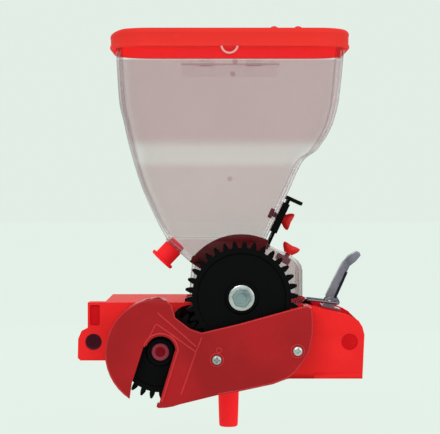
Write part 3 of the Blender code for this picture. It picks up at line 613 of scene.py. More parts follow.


# ------------------------------------------------------------------------------- workshop

# A glow on any finish below is painted light, the part shining in its own colour.
FINISHES = (
    MouldedPlastic("frame red", (0.72, 0.014, 0.015), 0.60, 0.08, 0.10, glow=0.15,
                   gloss=0.09),
    # painted shade: a darker copy of frame red for the floors of shallow recesses
    MouldedPlastic("recess shade red", (0.53, 0.004, 0.008), 0.60, 0.08, 0.10, glow=0.08,
                   gloss=0.05),
    MouldedPlastic("lid red", (0.44, 0.017, 0.013), 0.58, 0.06, 0.06, glow=0.72,
                   gloss=0.08),
    # painted highlight: pale pink for the bright line along the clear catch's curved rim
    MouldedPlastic("catch highlight pink", (0.72, 0.30, 0.30), 0.30, 0.05, 0.05),
    # painted highlight: a lighter red for the guard's raised lines and edge strips
    MouldedPlastic("guard highlight red", (0.50, 0.014, 0.020), 0.34, 0.10, 0.10,
                   gloss=0.25),
    MouldedPlastic("knob red", (0.62, 0.012, 0.011), 0.38, 0.15, 0.10, glow=0.2),
    MouldedPlastic("guard red", (0.365, 0.0045, 0.0075), 0.42, 0.13, 0.18,
                   scuff=(0.42, 0.03, 0.04), scuffed=0.16, gloss=0.18),
    # painted shade: near-black red for the inside of the fixing hole, with a little glow
    MouldedPlastic("hole shade red", (0.12, 0.022, 0.036), 0.6, glow=0.30, gloss=0.05),
    MouldedPlastic("cover red", (0.075, 0.001, 0.003), 0.45, 0.2, 0.15,
                   scuff=(0.2, 0.02, 0.03), gloss=0.12),
    MouldedPlastic("sleeve", (0.20, 0.025, 0.04), 0.40, 0.1, 0.1, glow=0.25, gloss=0.12),
    ClearPlastic("smoky clear", dense=0.035),
    ClearPlastic("chamber clear", body=0.185, rim=0.62),
    ClearPlastic("faint clear", body=0.02, thin=0.0, rim=0.10),
    # painted light: a pale finish that shines so that the hinge blends into the light behind it
    MouldedPlastic("hinge pale glow", (0.52, 0.58, 0.54), 0.5, 0.04, 0.04, glow=0.95,
                   gloss=0.10),
    # painted shade: a dark red, with some glow, for the disc seen through the pinion's bore
    MouldedPlastic("bore end shade red", (0.17, 0.003, 0.008), 0.5, 0.10, 0.10, glow=0.45,
                   gloss=0.05),
    # painted light: a red that shines, for the skirt's inner face lit through the wall
    MouldedPlastic("lid glow red", (0.62, 0.013, 0.012), 0.6, 0.05, 0.05, glow=1.0,
                   gloss=0.05),
    # painted shadow: near-black red behind the meshing gears
    MouldedPlastic("gear shadow dark", (0.012, 0.001, 0.002), 0.8, 0.1, 0.1,
                   scuff=(0.02, 0.004, 0.005), gloss=0.0),
    MouldedPlastic("outlet red", (0.80, 0.015, 0.020), 0.6, 0.08, 0.10, glow=0.32,
                   gloss=0.09),
    # painted shade: a darker, matte copy of frame red for the bridge at the right corner
    MouldedPlastic("shaded corner red", (0.50, 0.008, 0.012), 0.75, 0.06, 0.08, glow=0.05,
                   gloss=0.0),
    Nylon("black nylon"),
    MouldedPlastic("roller grey", (0.010, 0.010, 0.011), 0.5, 0.2, 0.2,
                   scuff=(0.05, 0.05, 0.05), gloss=0.1),
    Metal("zinc", (0.54, 0.56, 0.55), (0.30, 0.33, 0.33), 0.30),
    Metal("bolt steel", (0.26, 0.34, 0.35), (0.15, 0.20, 0.21), 0.28),
    Metal("latch steel", (0.24, 0.22, 0.27), (0.12, 0.11, 0.14), 0.34,
          (1.0, 1.0, 8.0)),
    # painted shade: near-black steel for the shaded groove along the lever's cheeks
    Metal("groove shade steel", (0.020, 0.022, 0.032), (0.010, 0.011, 0.016), 0.4),
    BrushFibre("bristle"))


@dataclass
class Workshop:
    """Holds the finishes and puts pieces on their bodies."""

    finishes: dict[str, bpy.types.Material] = field(default_factory=dict)

    def __post_init__(self) -> None:
        """Mixes every finish once."""
        for finish in FINISHES:
            self.finishes[finish.name] = finish.build()

    def put(self, piece: bpy.types.Object, body: Body, finish: str, slot: str,
            stands_for: tuple[str, ...] = ()) -> bpy.types.Object:
        """Dresses a new piece and fastens it to its body.

        Args:
            piece: the new object.
            body: what it moves with.
            finish: name of its finish.
            slot: the record's material slot; not used.
            stands_for: CAD nodes that it replaces.

        Returns:
            The piece.
        """
        piece.data.materials.clear()
        piece.data.materials.append(self.finishes[finish])
        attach(piece, body.value)
        if stands_for:
            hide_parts(*stands_for)
        log.info("%s: %d faces", piece.name, len(piece.data.polygons))
        return piece

    def soften(self, node: str, body: Body, finish: str, slot: str, width: float = 0.6,
               angle: float = 28.0) -> bpy.types.Object:
        """A CAD node with its edges rounded over.

        Args:
            node: the CAD node.
            body: what it moves with.
            finish: name of its finish.
            slot: the record's material slot.
            width: size of the rounding.
            angle: edges sharper than this many degrees are rounded.

        Returns:
            The piece that stands for the node.
        """
        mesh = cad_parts[node].data.copy()
        work = bmesh.new()
        work.from_mesh(mesh)
        bmesh.ops.remove_doubles(work, verts=work.verts, dist=2e-6)
        bmesh.ops.recalc_face_normals(work, faces=work.faces)
        work.to_mesh(mesh)
        work.free()
        mesh.shade_smooth()
        mesh.set_sharp_from_angle(angle=math.radians(30.0))
        piece = link(node + "_finished", mesh)
        rounding = piece.modifiers.new("Edges", "BEVEL")
        rounding.width = width * MM
        rounding.segments = 2
        rounding.limit_method = "ANGLE"
        rounding.angle_limit = math.radians(angle)
        rounding.use_clamp_overlap = True
        rounding.harden_normals = True
        return self.put(piece, body, finish, slot, (node,))

    def soften_all(self, rows: tuple) -> None:
        """Softens several CAD nodes.

        Args:
            rows: for each the node, body, finish, slot and width of soften.
        """
        for row in rows:
            self.soften(*row)


# ------------------------------------------------------------------------------- sub-assemblies

@dataclass
class Hopper:
    """The clear hopper, narrower below its shoulder, with its moulding marks."""

    wall: float = 2.6
    table: Array = field(default_factory=lambda: np.array([
        # height, left, right, front, rear, left radius, right radius
        (99, -72.9, 24.50, -113.5, -20.5, 16, 8), (111, -79.8, 30.05, -119, -21.0, 26, 12),
        (125, -86.5, 36.53, -126, -21.2, 32, 14), (149, -97.0, 47.63, -134, -21.6, 38, 18),
        (171, -104.3, 57.8, -138.5, -22.0, 42, 22), (177, -106.0, 62.5, -139.5, -22.0, 43, 22),
        (183, -107.6, 71.5, -143, -19.5, 44, 26), (189, -109.1, 76.3, -146, -17.0, 45, 28),
        (198, -111.2, 82.5, -147, -16.0, 45, 28), (212, -114.2, 89.0, -147.5, -16.0, 45, 28),
        (232, -118.5, 94.2, -148, -15.5, 45, 30), (292, -122.0, 100.0, -149, -15.0, 45, 30)],
        dtype=float))
    marks: tuple = ((-11.0, 156.7), (-8.5, 255.6), (-6.3, 267.0))
    button: tuple = ((0, 0.55), (1.6, 0.5), (2.3, 0.25), (2.5, -0.1), (0, -0.1))

    def rings(self, heights: Array, wall: float) -> Array:
        """The hopper's outline at several heights.

        Args:
            heights: one value a row.
            wall: how far the outline is moved in.

        Returns:
            The grid of places.
        """
        z = self.table[:, 0]
        x0, x1, y0, y1, left, right = (easy(z, self.table[:, k], heights) for k in range(1, 7))
        return rounded_rings(x0 + wall, x1 - wall, y0 + wall, y1 - wall, left - wall,
                             right - wall, heights)

    def build(self, shop: Workshop) -> None:
        """Makes the shell, outer wall up and inner wall down, and the marks on its front.

        Args:
            shop: holds the finishes.
        """
        heights = np.concatenate([np.linspace(99, 171, 25), np.linspace(173, 214, 28),
                                  np.linspace(218, 292, 14)])
        shell = np.concatenate([self.rings(heights, 0.0), self.rings(heights[::-1], self.wall)])
        shop.put(skin("hopper_shell", shell), Body.UNIT, "smoky clear", "clear", ("hopper",))
        front = easy(self.table[:, 0], self.table[:, 3], np.array([z for _, z in self.marks]))
        for k, (x, z) in enumerate(self.marks):
            shop.put(turned(f"moulding_mark_{k}", self.button, 24, (x, front[k], z)),
                     Body.UNIT, "smoky clear", "clear")


@dataclass
class Lid:
    """The red lid: a skirt with a bead, a rounded shoulder and a gently crowned top."""

    left: float = -126.4
    right: float = 103.4
    front: float = -154.5
    rear: float = -10.5
    bottom: float = 281.0
    top: float = 299.0
    skin: float = 2.2
    dome: tuple = ((0, 4.6), (1.2, 4.5), (2.6, 4.0), (3.9, 2.9), (4.7, 1.5), (5.0, 0.2),
                   (5.0, -0.4), (0, -0.4))
    domes_x: tuple[float, float] = (31.5, 54.5)
    domes_y: float = -120.0
    corner_left: float = 40.0
    corner_right: float = 32.0
    catch: Point = (-11.6, -156.6, 282.2)
    catch_radius: float = 7.6

    def build(self, shop: Workshop) -> None:
        """Makes the shell and the two domes on it.

        The section runs from the middle of the underside out to the skirt, round its foot and up
        to the middle of the top, as pairs of (inset, height) carried round the plan's outline.

        Args:
            shop: holds the finishes.
        """
        inner = [(60.0, self.top - 3.2), (12.0, self.top - 3.2), (4.4, self.top - 3.4),
                 (self.skin + 0.4, self.top - 5.2), (self.skin, self.bottom + 0.5)]
        outer = [(self.skin - 0.4, self.bottom), (0.5, self.bottom), (0.0, self.bottom + 0.5),
                 (0.0, self.bottom + 2.8), (0.3, self.bottom + 3.4), (0.75, self.bottom + 3.8),
                 (0.75, self.top - 5.6), (0.35, self.top - 5.0), (0.25, self.top - 4.4),
                 (0.5, self.top - 2.8), (1.3, self.top - 1.5), (2.7, self.top - 0.6),
                 (4.6, self.top - 0.15), (7.0, self.top), (12.0, self.top - 0.1),
                 (14.0, self.top - 0.5), (60.0, self.top - 0.5)]
        section = np.array(inner + outer)
        inset, height = section[:, 0], section[:, 1]
        grid = self.rings(inset, height)
        # The top falls by 3 mm over the last 15 mm at the left, by 0.8 mm over 7 mm at the right.
        crown = (height > self.top - 7.0)[:, None]
        slope = np.clip((self.left + 15.0 - grid[..., 0]) / 15.0, 0, 1) ** 1.4 * 3.0
        slope += np.clip((grid[..., 0] - self.right + 7.0) / 7.0, 0, 1) ** 2 * 0.8
        grid[..., 2] -= np.where(crown, slope, 0.0)
        centre = np.array([(self.left + self.right) / 2, (self.front + self.rear) / 2, 0.0])
        poles = [np.broadcast_to(centre + [0, 0, z], grid[:1].shape)
                 for z in (self.top - 3.2, self.top - 0.5)]
        grid = np.concatenate([poles[0], grid, poles[1]])
        shop.put(skin("lid_shell", grid, False, 40.0), Body.LID, "lid red", "lid_red", ("lid",))
        self.paint_skirt_light(shop)
        for k, x in enumerate(self.domes_x):
            shop.put(turned(f"lid_dome_{k}", self.dome, 32, (x, self.domes_y, self.top - 0.3),
                            UP), Body.LID, "lid red", "lid_red")
        shop.soften("lid_catch", Body.LID, "faint clear", "clear", 0.5)
        # painted highlight: a pale pink bead along the catch's curved rim
        rim_highlight = tube(arc(self.catch, self.catch_radius, 188, 352, 40), 0.95, 12, 0.4)
        shop.put(skin("lid_catch_highlight", rim_highlight, False), Body.LID, "catch highlight pink", "clear")
        # painted light: the hinge pin shines in a pale finish so that it blends into the light seen
        # through the hopper
        shop.soften_all((("lid_hinge_leaf", Body.LID, "faint clear", "lid_red", 0.3),
                         ("hopper_hinge_bracket", Body.UNIT, "faint clear", "clear", 0.3),
                         ("lid_hinge_pin", Body.UNIT, "hinge pale glow", "zinc", 0.3)))

    def rings(self, inset: Array, height: Array) -> Array:
        """The plan's outline, moved in by inset at each height.

        Args:
            inset: one value a row.
            height: one value a row.

        Returns:
            The grid of places.
        """
        reach = np.minimum(inset, 28.0)
        return rounded_rings(self.left + inset, self.right - inset, self.front + inset,
                             self.rear - inset, self.corner_left - reach,
                             self.corner_right - reach, height, 12)

    def paint_skirt_light(self, shop: Workshop) -> None:
        """Makes a strip that shines just inside the skirt, painted light for the brighter inner face
        where light comes through the wall.

        The section is a thin strip 0.3 mm thick, 0.05 mm inside the skirt's inner face, carried
        round the plan's outline as a closed loop of (inset, height) pairs.

        Args:
            shop: holds the finishes.
        """
        near, far = self.skin + 0.45, self.skin + 0.75
        foot, head = self.bottom + 0.6, self.top - 6.0
        section = np.array([(near, foot), (near, head), (far, head), (far, foot)])
        shop.put(skin("lid_skirt_glow_strip", self.rings(section[:, 0], section[:, 1])), Body.LID,
                 "lid glow red", "lid_red")


@dataclass
class SpurGear:
    """An involute spur gear in black nylon, with a hub, a sunk web and chamfered teeth."""

    name: str
    node: str
    body: Body
    teeth: int
    centre: tuple[float, float]
    tooth_at: float
    bore: float
    hub: float
    front: float = -140.0
    width: float = 10.0
    module: float = 3.0
    backlash: float = 0.6

    def outline(self) -> tuple[Array, Array]:
        """Angle and radius of the teeth's outline.

        A tooth's half angle at radius r is its share of the pitch circle plus the involute of the
        pressure angle less the involute at r, where the involute of a is tan a - a.

        Returns:
            The angles, rising, and their radii.
        """
        pitch = self.module * self.teeth / 2
        pressure = math.radians(20)
        base = pitch * math.cos(pressure)
        root, tip = pitch - 1.25 * self.module, pitch + self.module
        radius = np.concatenate([[root, root + 0.15], np.linspace(max(base, root) + 0.3, tip, 7)])
        lean = np.arccos(np.minimum(1.0, base / np.maximum(base, radius)))
        half = (math.pi / (2 * self.teeth) - self.backlash / 2 / pitch
                + math.tan(pressure) - pressure - (np.tan(lean) - lean))
        half[0] += 0.010
        flank_angle = np.concatenate([-half, half[::-1]])
        flank_radius = np.concatenate([radius, radius[::-1]])
        middle = self.tooth_at + 2 * np.pi * np.arange(self.teeth) / self.teeth
        return ((middle[:, None] + flank_angle).ravel(), np.tile(flank_radius, self.teeth))

    def build(self, shop: Workshop) -> None:
        """Carries the section from bore to hub, web, rim and teeth, front to back.

        Args:
            shop: holds the finishes.
        """
        angle, teeth = self.outline()
        root = teeth.min()
        plain = np.ones_like(teeth)
        back = self.front + self.width
        rows = [(self.bore, self.front + 0.5), (self.bore + 0.5, self.front),
                (self.hub, self.front), (self.hub + 0.5, self.front + 0.4),
                (self.hub + 1.1, self.front + 1.7), (root - 5.6, self.front + 1.7),
                (root - 5.0, self.front + 0.4), (root - 4.5, self.front),
                (teeth - 0.55, self.front), (teeth, self.front + 0.55), (teeth, back - 0.55),
                (teeth - 0.55, back), (root - 5.0, back), (self.hub + 1, back),
                (self.bore + 0.5, back), (self.bore, back - 0.5)]
        radius = np.stack([r * plain for r, _ in rows])
        deep = np.array([y for _, y in rows])
        grid = np.stack([self.centre[0] + radius * np.cos(angle),
                         np.repeat(deep[:, None], len(angle), 1),
                         self.centre[1] + radius * np.sin(angle)], axis=-1)
        shop.put(skin(self.name, grid, True, 26.0), self.body, "black nylon", "black_nylon",
                 (self.node,))


@dataclass
class Fastener:
    """A pan-head screw with a cross recess, or a hexagon bolt's chamfered head."""

    shop: Workshop
    flats: float = 8.0
    corners: float = 8.9
    twist: float = 0.18
    bolt_seat: float = -142.5
    washer_seat: float = -140.3
    sides: int = 120

    def pan_head(self, name: str, node: str, x: float, y: float, z: float, radius: float) -> None:
        """A screw head facing -Y.

        The height over the seat is a flattened dome, 2.0 (1 - (r/R)^2.6)^0.5 + 0.25, less a
        cross whose arms have sloping sides.

        Args:
            name: the piece's name.
            node: the CAD screw that it stands for.
            x: across.
            y: the seat under the head.
            z: up.
            radius: of the head.
        """
        share = np.concatenate([np.linspace(0.001, 0.72, 26), np.linspace(0.76, 1.0, 9)])
        angle = np.linspace(0, 2 * np.pi, 96, endpoint=False)
        r = share[:, None] * radius * np.ones(96)
        dome = 2.0 * np.clip(1 - share ** 2.6, 0, 1)[:, None] ** 0.5 + 0.25
        px, pz = r * np.cos(angle + 0.5), r * np.sin(angle + 0.5)
        arm = np.minimum(np.abs(px), np.abs(pz))
        deep = np.clip((0.75 - arm) / 0.35, 0, 1) * np.clip((radius * 0.62 - r) / 0.6, 0, 1)
        height = dome - 1.25 * deep
        top = np.stack([x + px, y - height, z + pz], axis=-1)
        foot = top[-1:].copy()
        foot[..., 1] = y
        middle = np.broadcast_to(np.array([x, y, z]), foot.shape)
        crown = np.broadcast_to(np.array([x, y - 1.0, z]), foot.shape)
        piece = skin(name, np.concatenate([crown, top, foot, middle]), False, 30.0)
        self.shop.put(piece, Body.UNIT, "zinc", "zinc", (node,))

    def hex_head(self) -> None:
        """The gear bolt's head on its washer: the radius of a hexagon, flats / cos(a mod 60 deg -
        30 deg), cut off at the corners by a chamfer cone."""
        angle = np.linspace(0, 2 * np.pi, self.sides, endpoint=False)
        flat = self.flats / np.cos((angle + self.twist) % (np.pi / 3) - np.pi / 6)
        cone = np.minimum(flat, self.corners)
        rows = [(0.0, 5.7), (4.4, 5.7), (5.1, 6.35), (cone * 0.93, 6.35), (cone, 5.8),
                (flat, 5.0), (flat, 0.35), (flat * 0.975, 0.0), (0.0, 0.0)]
        radius = np.stack([r * np.ones(self.sides) for r, _ in rows])
        height = np.repeat(np.array([[h] for _, h in rows]), self.sides, 1)
        grid = np.stack([radius * np.cos(angle), self.bolt_seat - height,
                         GEAR_Z + radius * np.sin(angle)], axis=-1)
        self.shop.put(skin("gear_bolt_head", grid, False, 22.0), Body.ROTOR, "bolt steel",
                      "zinc", ("gear_bolt",))
        ring = ((4.4, 1.5), (5.0, 1.8), (11.4, 1.8), (12.1, 1.5), (12.3, 1.0), (12.3, 0.3),
                (12.0, 0.0), (4.4, 0.0))
        self.shop.put(turned("gear_washer_disc", ring, 96, (0.0, self.washer_seat, GEAR_Z),
                             ring=True), Body.ROTOR, "zinc", "zinc", ("gear_washer",))


@dataclass
class Guard:
    """The dark red gear guard with its raised lines and the rims of its slot and screws, in a
    lighter red that paints their highlights, and painted highlight strips along its edges.
    """

    face: float = -149.0
    pinion: tuple[float, float] = (-77.3, -8.22)
    lobe: float = 51.1
    slot: float = 16.4
    screw_seat: float = -149.3
    screw_head: float = 4.6
    edge: tuple = ((-70.8, 40.2), (-66.6, 36.6), (-63.4, 24.9), (-49.1, 14.0), (-38.0, 10.2),
                   (-4.1, 18.1), (50.0, 33.1), (61.9, 35.7), (65.6, 33.4), (66.6, 25.0),
                   (66.6, 10.4), (63.6, -6.0), (56.7, -17.5), (50.8, -25.4), (43.2, -31.5),
                   (29.3, -36.7), (-2.7, -43.6), (-22.5, -46.9))
    lines: tuple = (((-79.9, 30.0), (-43.1, -2.1)), ((-80.9, 19.6), (-43.1, -7.4)),
                    ((-80.9, 19.6), (-88.4, 4.5)), ((-37.5, 7.3), (-43.1, -6.8), (-57.3, -47.4)))
    slot_leg: tuple = ((-61.0, -8.0), (-75.4, -54.5))
    rings: tuple = (("left", -23.5, -14.8, 6.2), ("right", 53.0, -6.3, 6.2),
                    ("mark", -21.4, -5.6, 2.4))

    def build(self, shop: Workshop) -> None:
        """Softens the moulding and lays the raised lines, rims and rings on its face, and highlight
        strips along its lobe and outer edge, all in the lighter painted-highlight red.

        Args:
            shop: holds the finishes.
        """
        shop.soften("gear_guard", Body.UNIT, "guard red", "guard_red", 0.9)
        x, z = self.pinion
        # painted highlight: bright lines along the rounded lobe and outer edge, drawn as beads
        self.lay(shop, "guard_lobe_highlight", arc((x, self.face + 0.35, z), self.lobe, 233, 96, 60),
                 0.8, 12)
        self.lay(shop, "guard_edge_highlight", resample(self.on_face(self.edge, 0.35), 200), 0.8, 12)
        for k, line in enumerate(self.lines):
            self.lay(shop, f"guard_line_{k}", resample(self.on_face(line, 0.15), 40), 1.1, 14)
        mouth = arc((x + 0.7, self.face, z + 2.0), self.slot, 165, -3, 40)
        rim = mouth.tolist() + self.on_face(self.slot_leg, 0.0)
        self.lay(shop, "guard_slot_rim", resample(rim, 120), 1.1, 14)
        for name, x, z, r in self.rings:
            bead = ((r - 0.7, 0.0), (r - 0.5, 0.5), (r, 0.62), (r + 0.5, 0.5), (r + 0.7, 0.0),
                    (r, -0.3))
            shop.put(turned(f"guard_ring_{name}", bead, 56, (x, self.face, z), ring=True),
                     Body.UNIT, "guard highlight red", "guard_red")
        fit = Fastener(shop)
        for name, x, z, _ in self.rings[:2]:
            fit.pan_head(f"guard_screw_head_{name}", f"guard_screw_{name}", x, self.screw_seat, z,
                         self.screw_head)

    def on_face(self, points: tuple, lift: float) -> list:
        """Places (x, z) pairs at the guard's face, a little into it.

        Args:
            points: the pairs.
            lift: how deep.

        Returns:
            The points with their y.
        """
        return [(x, self.face + lift, z) for x, z in points]

    def lay(self, shop: Workshop, name: str, path: Array, radius: float, sides: int) -> None:
        """Lays a half sunk round bead on the face, in a lighter red that paints its highlight.

        Args:
            shop: holds the finishes.
            name: the bead's name.
            path: its middle line.
            radius: its radius.
            sides: steps round it.
        """
        shop.put(skin(name, tube(path, radius, sides, 0.9), False), Body.UNIT, "guard highlight red",
                 "guard_red")


@dataclass
class Carrier:
    """The red frame: side plates, deck, bridge, floor, tubes, and the seed outlet under it."""

    throat: tuple = (9.5, -68.5, 49.0, 46.0)        # under the chamber: middle, half sizes
    spout: tuple[float, float] = (-12.0, -62.0)
    wall: float = 2.5
    recess: tuple = (-145.2, -136.2, 16.0, 35.3)    # sides, foot and head
    recess_floor: float = -122.0
    mouldings: tuple = (("frame_front_plate", "frame red", 0.8),
                        ("frame_rear_plate", "frame red", 0.8), ("frame_deck", "frame red", 0.7),
                        ("frame_corner_block", "frame red", 0.7),
                        ("frame_floor", "frame red", 0.5), ("fixing_tube_left", "frame red", 0.5),
                        ("fixing_tube_right", "frame red", 0.6),
                        # painted shade: the bridge in the darker copy of frame red
                        ("frame_bridge", "shaded corner red", 0.8))
    discs: tuple = (
        # painted shade: the blind end's floor in the darker recess red
        ("blind_end", "recess shade red", 64, (104.0, -123.0, 0.0),
         ((0, 0.4), (6.9, 0.4), (7.5, 0.25), (7.7, -0.05), (0, -0.05))),
        # painted shade: a near-black sleeve inside the left fixing hole, where there is only shade
        ("fixing_hole_shade", "hole shade red", 64, (-142.0, -121.5, 0.0),
         ((0, -115.6), (7.5, -115.6), (7.5, 0.0), (7.95, 0.0), (7.95, -115.9), (0, -115.9))),
        # painted shade: a dark red disc on the rear plate, seen through the pinion's bore
        ("pinion_bore_shade", "bore end shade red", 72, (-77.3, -4.0, -10.0),
         ((0, 0.8), (20.0, 0.8), (20.8, 0.6), (21.0, 0.05), (0, 0.05))),
        # painted shadow: a near-black disc on the front plate behind the meshing gears
        ("gear_mesh_shadow", "gear shadow dark", 64, (-50.0, -124.0, 18.5),
         ((0, 0.35), (16.2, 0.35), (16.8, 0.2), (17.0, -0.1), (0, -0.1))))

    def build(self, shop: Workshop) -> None:
        """Softens the frame's mouldings, turns the outlet and sets the turned details in.

        Args:
            shop: holds the finishes.
        """
        for node, finish, width in self.mouldings:
            shop.soften(node, Body.UNIT, finish, "frame_red", width, 34.0)
        self.outlet(shop)
        for name, finish, sides, base, profile in self.discs:
            shop.put(turned(name, profile, sides, base), Body.UNIT, finish, "frame_red")
        self.panel(shop)

    def panel(self, shop: Workshop) -> None:
        """The floor of the corner's shallow recess: nested rounded rectangles, the outer ones
        lower than the inner ones, so that it has soft edges.

        Args:
            shop: holds the finishes.
        """
        inset = np.array([0.0, 0.0, 0.25, 0.6, 2.2])
        rise = np.array([0.0, 0.2, 0.32, 0.36, 0.36])
        r = 2.4 - np.minimum(inset, 2.2)
        left, right, foot, head = self.recess
        grid = rounded_rings(left + inset, right - inset, foot + inset, head - inset, r, r,
                             rise, 6)
        grid = np.stack([grid[..., 0], self.recess_floor - grid[..., 2], grid[..., 1]], axis=-1)
        middle = grid[-1:].mean(axis=1, keepdims=True) * np.ones_like(grid[-1:])
        under = middle + np.array([0.0, 0.36, 0.0])
        # painted shade: the recess floor in the darker recess red
        shop.put(skin("corner_panel", np.concatenate([under, grid, middle]), False), Body.UNIT,
                 "recess shade red", "frame_red")

    def outlet(self, shop: Workshop) -> None:
        """The funnel and spout: rings that pass from the chamber's rectangle to a circle, each
        point a share of the way between the two, down outside and up inside.

        Args:
            shop: holds the finishes.
        """
        turn_at = 2 * np.pi * (np.arange(72) + 0.5) / 72
        c, s = np.cos(turn_at), np.sin(turn_at)
        square = 1 / (np.abs(c) ** 9 + np.abs(s) ** 9) ** (1 / 9)
        height = np.array([-33.3, -35.6, -40.0, -46.0, -50.5, -54.0, -57.0, -72.0, -86.0, -88.6,
                           -89.6, -90.0, -90.0, -89.4, -86.0, -60.0, -53.0, -44.4, -38.0, -33.3])
        mix = np.interp(-height[:12], [33.3, 35.6, 46.0, 54.0], [0, 0, 0.72, 1.0])
        mix = np.concatenate([mix, np.interp(-height[12:], [33.3, 44.4, 53.0], [0, 0.72, 1.0])])
        radius = np.concatenate([[11, 11, 11, 11, 10.9, 10.6, 10.3, 9.9, 9.4, 9.2, 8.6, 7.9],
                                 [6.4, 6.4, 6.6, 7.6, 7.8, 8.0, 8.0, 8.0]])
        grow = np.concatenate([np.zeros(12), np.full(8, self.wall)])
        x, y, half_x, half_y = self.throat
        rect = np.stack([x + (half_x - grow)[:, None] * c * square,
                         y + (half_y - grow)[:, None] * s * square], axis=-1)
        disc = np.stack([self.spout[0] + radius[:, None] * c,
                         self.spout[1] + radius[:, None] * s], axis=-1)
        plan = rect * (1 - mix)[:, None, None] + disc * mix[:, None, None]
        grid = np.concatenate([plan, np.repeat(height[:, None], 72, 1)[..., None]], axis=-1)
        shop.put(skin("outlet_spout", grid), Body.UNIT, "outlet red", "frame_red",
                 ("outlet_funnel",))


@dataclass
class Knob:
    """A two-lobed hand knob on a stud, turned by so many degrees about the y axis."""

    name: str
    node: str
    origin: Point
    turned: float
    base: float
    scale: float
    lobes: float = 0.62

    def build(self, shop: Workshop) -> None:
        """Carries a mushroom section round the stud.

        With a from the long way of the knob and t the share of its height to the power 0.8, the
        radius is r (1 + t (lobes |cos a|^3 - 0.1 |sin a|)), and the top rises towards the lobes
        by 1.6 cos^2 a (r/6)^2.

        Args:
            shop: holds the finishes.
        """
        section = np.array([(0.0, 7.2), (1.2, 7.2), (2.6, 7.6), (3.9, 7.9), (5.0, 7.2),
                            (5.6, 5.4), (5.3, 3.2), (4.4, 1.4), (4.0, 0.0), (0.0, 0.0)])
        angle = np.linspace(0, 2 * np.pi, 72, endpoint=False)
        along, over = np.abs(np.cos(angle)), np.abs(np.sin(angle))
        tall = np.clip(section[:, 1:] / 7.9, 0, 1)
        wave = 1 + (self.lobes * along ** 3 - 0.1 * over)[None, :] * tall ** 0.8
        radius = section[:, :1] * wave * self.scale
        rise = (section[:, 1:] + 1.6 * along ** 2 * (section[:, :1] / 6) ** 2 * tall)
        local = np.stack([self.base + rise * self.scale, radius * np.sin(angle),
                          radius * np.cos(angle)], axis=-1)
        c, s = math.cos(math.radians(self.turned)), math.sin(math.radians(self.turned))
        spin = np.array([[c, 0.0, s], [0.0, 1.0, 0.0], [-s, 0.0, c]])
        grid = local @ spin.T + np.array(self.origin)
        shop.put(skin(self.name, grid, False, 40.0), Body.UNIT, "knob red", "lid_red",
                 (self.node,))


@dataclass
class Chamber:
    """The clear metering chamber with its covers, roller, brush, drain cap and hook."""

    drain: Point = (-64.8, -68.0, 90.9)
    drain_axis: Point = (-0.6906, 0.0, -0.7233)
    mouldings: tuple = (
        ("metering_chamber", Body.UNIT, "chamber clear", "clear", 0.8),
        ("front_cover", Body.UNIT, "cover red", "cover_red", 0.5),
        ("rear_cover", Body.UNIT, "cover red", "cover_red", 0.8),
        ("metering_roller", Body.ROTOR, "roller grey", "roller", 0.6),
        ("meter_shaft", Body.ROTOR, "zinc", "zinc", 0.4),
        ("pinion_sleeve", Body.PINION, "sleeve", "sleeve", 0.4),
        ("meter_brush", Body.UNIT, "bristle", "bristle", 0.3))

    def build(self, shop: Workshop) -> None:
        """Softens the mouldings and turns the drain cap.

        Args:
            shop: holds the finishes.
        """
        shop.soften_all(self.mouldings)
        Knob("brush_knob_body", "brush_knob", origin=(46.5, -78.0, 82.94), turned=-62.54,
             base=0.5, scale=1.1).build(shop)
        shop.soften("chamber_hook", Body.UNIT, "black nylon", "black_nylon", 0.4)
        self.cap(shop)

    def cap(self, shop: Workshop) -> None:
        """The drain cap, its flange's radius waved for grip: r (0.985 + 0.015 cos 18 a).

        Args:
            shop: holds the finishes.
        """
        section = np.array([(0, 19.6), (8.6, 19.7), (9.4, 20.6), (11.6, 20.6), (12.3, 20.2),
                            (12.6, 19.6), (12.6, 17.9), (12.2, 17.4), (10.0, 17.3), (9.6, 16.8),
                            (9.6, 3.2), (9.2, 2.8), (8.0, 2.7), (8.0, -3.5), (7.5, -4.0),
                            (0, -4.0)], dtype=float)
        angle = np.linspace(0, 2 * np.pi, 144, endpoint=False)
        grid = turn(section, 144)
        grip = ((section[:, 0] > 12.1) & (section[:, 1] > 17))[:, None]
        wave = np.where(grip, 0.985 + 0.015 * np.cos(18 * angle)[None, :], 1.0)
        grid[..., :2] *= wave[..., None]
        shop.put(skin("drain_cap_moulding", stand(grid, self.drain, self.drain_axis), False),
                 Body.DRAIN_CAP, "outlet red", "lid_red", ("drain_cap",))


@dataclass
class Gate:
    """The seed gate in its guide, with the stud and wing nut that clamp it."""

    def build(self, shop: Workshop) -> None:
        """Softens the pieces.

        Args:
            shop: holds the finishes.
        """
        for node, body in (("gate_guide", Body.UNIT), ("seed_gate", Body.GATE),
                           ("gate_stud", Body.UNIT)):
            shop.soften(node, body, "black nylon", "black_nylon", 0.5)
        Knob("gate_knob_body", "gate_wing_nut", origin=(34.67, -78.0, 121.0), turned=24.82,
             base=7.7, scale=1.08).build(shop)


